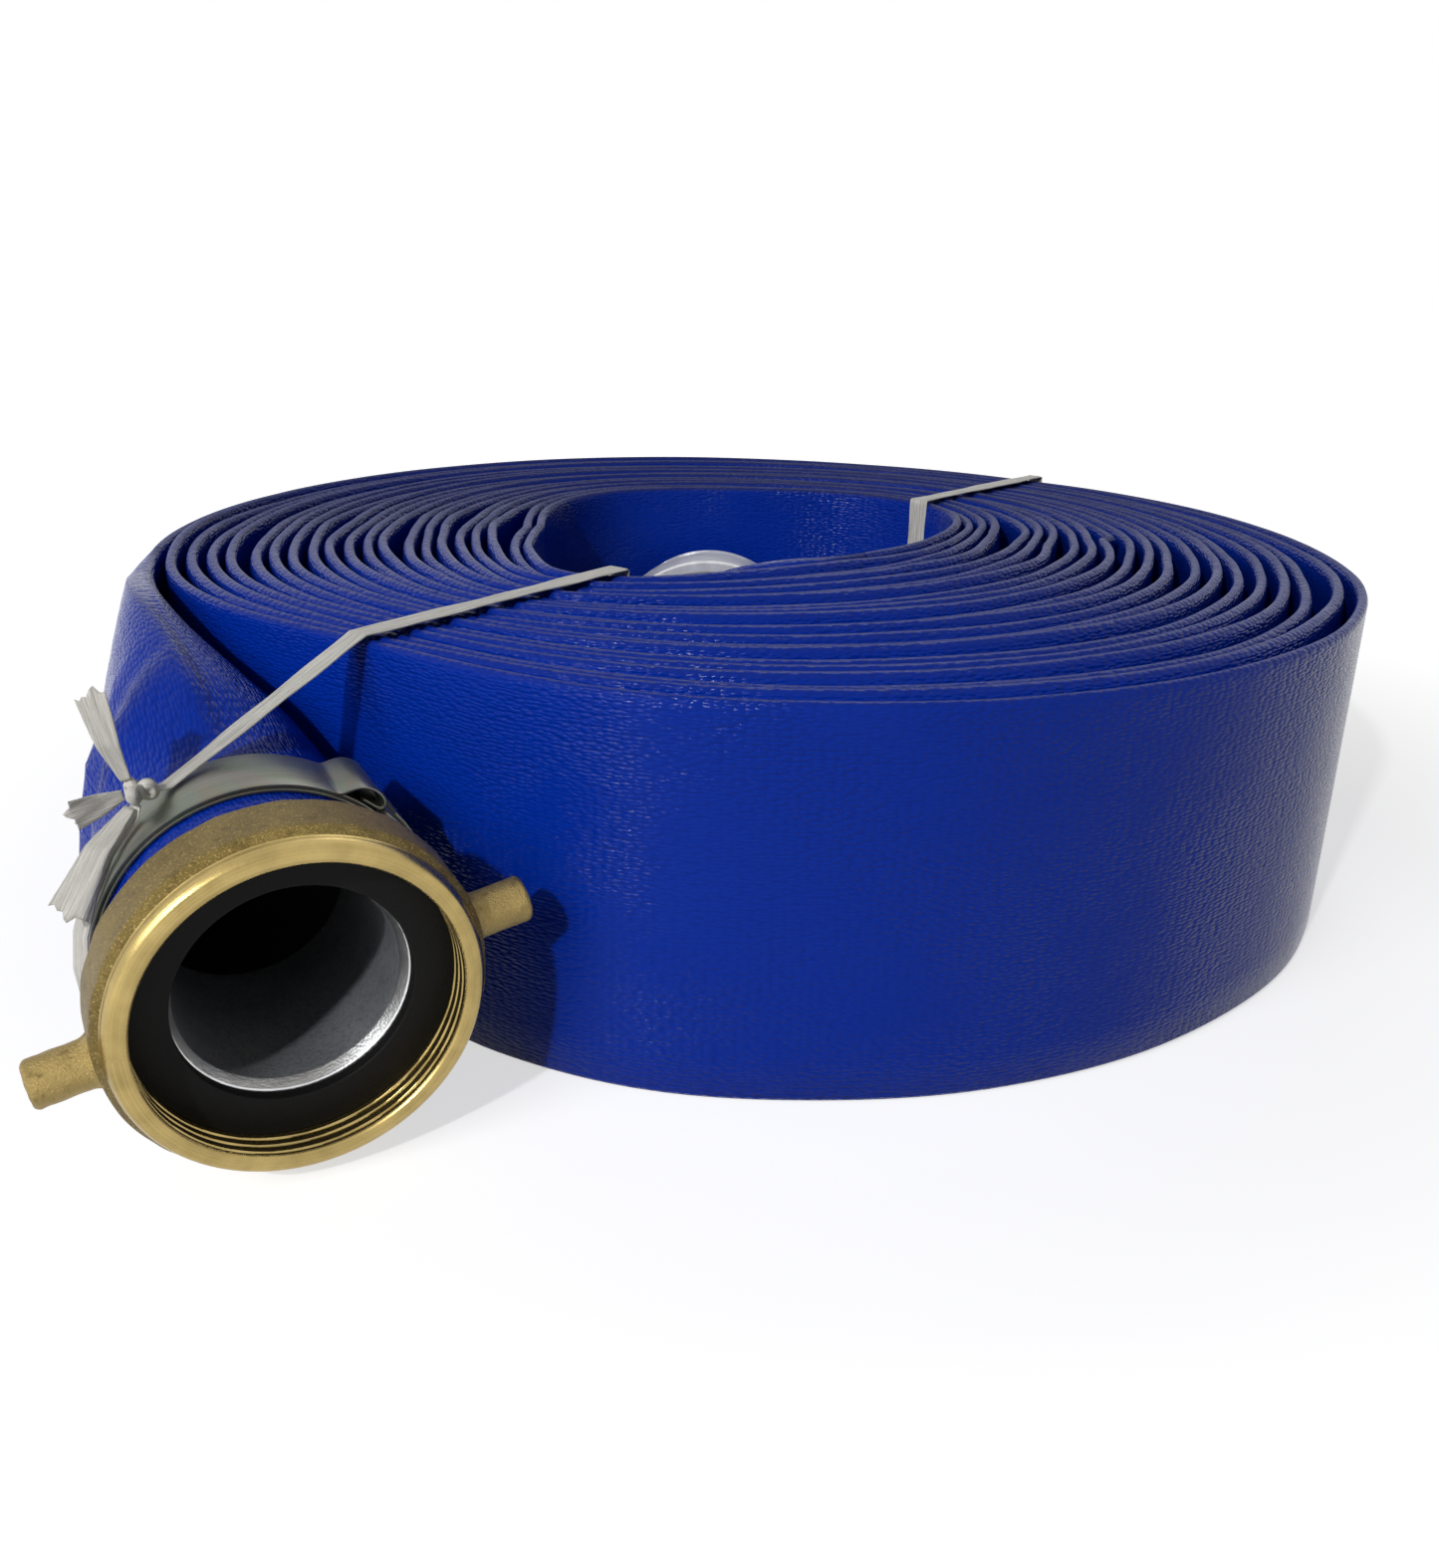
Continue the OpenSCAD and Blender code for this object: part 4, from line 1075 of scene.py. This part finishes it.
def make_film_tail(name, points, across, film, node, curl):
    """Loose end of film: a thin wavy strip that widens to a ragged end."""
    knots = np.array([p for p, _ in points], float)
    widths = np.array([w for _, w in points], float)
    t = np.linspace(0, len(points) - 1, 26)
    line = np.stack([np.interp(t, range(len(points)), knots[:, k]) for k in range(3)], -1)
    wide = np.interp(t, range(len(points)), widths)
    run = unit(knots[-1] - knots[0])
    side = unit(np.array(across, float) - np.dot(across, run) * run)
    face = np.cross(run, side)
    s = np.linspace(-1, 1, 9)
    grid, marks = [], []
    for k in range(len(t)):
        ripple = curl * (0.5 * np.sin(2.2 * s + 0.5 * t[k]) + 0.35 * np.sin(5 * s + 3 * t[k])) * t[k] / t[-1]
        row = FRONT_KNOT + line[k] + s[:, None] * wide[k] / 2 * side + ripple[:, None] * face
        if k == len(t) - 1:
            row = row + (0.8 * np.sin(4 * s + 1) + 0.5 * np.sin(9 * s))[:, None] * run
        grid.append(row)
        marks.append(np.stack([np.full(9, 8 * t[k]), 1.5 * s * wide[k] / 2], -1))
    obj = piece(name, [sheet(np.array(grid), np.array(marks))], [film], "roll", [node], 60)
    solid = obj.modifiers.new("film", "SOLIDIFY")
    solid.thickness = FILM_THICKNESS * MM
    solid.offset = 0
    return obj


def make_ties(film):
    front_knot = make_knot("front_knot_film", FRONT_KNOT, NUT_AXIS, film, "front_tie_knot")
    rear_knot = make_knot("rear_knot_film", REAR_KNOT, REAR_KNOT_WAY, film, "rear_tie_knot")
    upper = make_film_tail(
        "film_tail_upper", (((-2, 0, 2), 2), ((-4, -1, 9), 4), ((-7, 1, 18), 6)), (1, 0, 0), film,
        "front_tie_upper_tail", 0.8,
    )
    left = make_film_tail(
        "film_tail_left", (((-2, -2, 0), 2), ((-5, -4, -1), 4), ((-9, -8, -2), 6)), (0, 0, 1), film,
        "front_tie_left_tail", 0.7,
    )
    lower = make_film_tail(
        "film_tail_lower", (((-1, -2, -2.4), 2), ((-5, -9, -8), 5), ((-9, -15, -18), 8)), (1, 0, 0), film,
        "front_tie_lower_tail", 0.9,
    )
    make_tie("front_tie_film", FRONT_TIE_ROUTE, FRONT_TIE_PLANE, film, "front_tie")
    make_tie("rear_tie_film", REAR_TIE_ROUTE, REAR_TIE_PLANE, film, "rear_tie")


# Setting

def make_floor():
    h = FLOOR_HALF
    mesh = bpy.data.meshes.new("floor")
    mesh.from_pydata([(-h, -h, 0), (h, -h, 0), (h, h, 0), (-h, h, 0)], [], [(0, 1, 2, 3)])
    mesh.materials.append(floor_material())
    obj = bpy.data.objects.new("floor", mesh)
    bpy.context.scene.collection.objects.link(obj)
    obj.location.z = -FLOOR_DROP


def make_world():
    world = bpy.data.worlds.new("studio")
    world.use_nodes = True
    tree = world.node_tree
    back = tree.nodes["Background"]
    tree.links.new(span(tree, seen_directly(tree), AMBIENT, 1.0), back.inputs["Strength"])
    back.inputs["Color"].default_value = (1, 1, 1, 1)
    bpy.context.scene.world = world


def make_lamp(name, place_at, aim, size, power):
    lamp = bpy.data.lights.new(name, "AREA")
    lamp.size = size
    lamp.energy = power
    obj = bpy.data.objects.new(name, lamp)
    obj.location = place_at
    obj.rotation_euler = (Vector(aim) - Vector(place_at)).to_track_quat("-Z", "Y").to_euler()
    bpy.context.scene.collection.objects.link(obj)


def make_camera():
    pitch, roll = math.radians(CAMERA_PITCH), math.radians(CAMERA_ROLL)
    level_up = np.array([0, math.sin(pitch), math.cos(pitch)])
    level_right = np.array([1.0, 0, 0])
    forward = np.array([0, math.cos(pitch), -math.sin(pitch)])
    right = math.cos(roll) * level_right + math.sin(roll) * level_up
    up = -math.sin(roll) * level_right + math.cos(roll) * level_up
    data = bpy.data.cameras.new("photo_camera")
    data.sensor_width = SENSOR
    data.lens = FOCAL_PIXELS * SENSOR / IMAGE_HEIGHT
    data.clip_start = 0.01
    obj = bpy.data.objects.new("photo_camera", data)
    turn = Matrix((right, up, -forward)).transposed()
    obj.matrix_world = Matrix.Translation(Vector(CAMERA_PLACE * MM)) @ turn.to_4x4()
    bpy.context.scene.collection.objects.link(obj)
    bpy.context.scene.camera = obj


def make_light():
    make_world()
    for lamp in LAMPS:
        make_lamp(*lamp)


def main():
    noise.seed_set(NOISE_SEED)
    make_camera()
    steel = steel_material()
    film = film_material()
    make_ties(film)
    make_hose(hose_material(), rubber_material("hose_lining", 0.045, 0.085))
    make_nut(
        brass_cast_material("brass_cast", (0.125, 0.088, 0.029), (0.195, 0.142, 0.047)), brass_machined_material(),
        # A lighter copy of the cast brass for the lugs: painted light
        brass_cast_material("brass_cast_painted_lighter", (0.240, 0.175, 0.066), (0.360, 0.268, 0.105)),
    )
    make_gasket(rubber_material("rubber_black", 0.004, 0.011))
    make_shank(aluminium_material("aluminium", 1.0), dark_bore_material())
    nut_band = (NUT_MOUTH, NUT_AXIS, NUT_LEFT, BAND_MIDDLE)
    make_band("swivel_band", *nut_band, steel, "swivel_clamp_band")
    make_buckle("swivel_buckle", *nut_band, BUCKLE_ANGLE, steel, "swivel_clamp_buckle")
    make_threaded_coupling(aluminium_material("aluminium_pale", 0.35))
    male_band = (MALE_MOUTH, MALE_AXIS, MALE_LEFT, MALE_BAND_MIDDLE)
    make_band("threaded_band", *male_band, steel, "threaded_clamp_band")
    make_buckle("threaded_buckle", *male_band, MALE_BUCKLE_ANGLE, steel, "threaded_clamp_buckle")
    make_floor()
    make_light()
    bpy.context.scene.view_settings.view_transform = "Standard"


main()
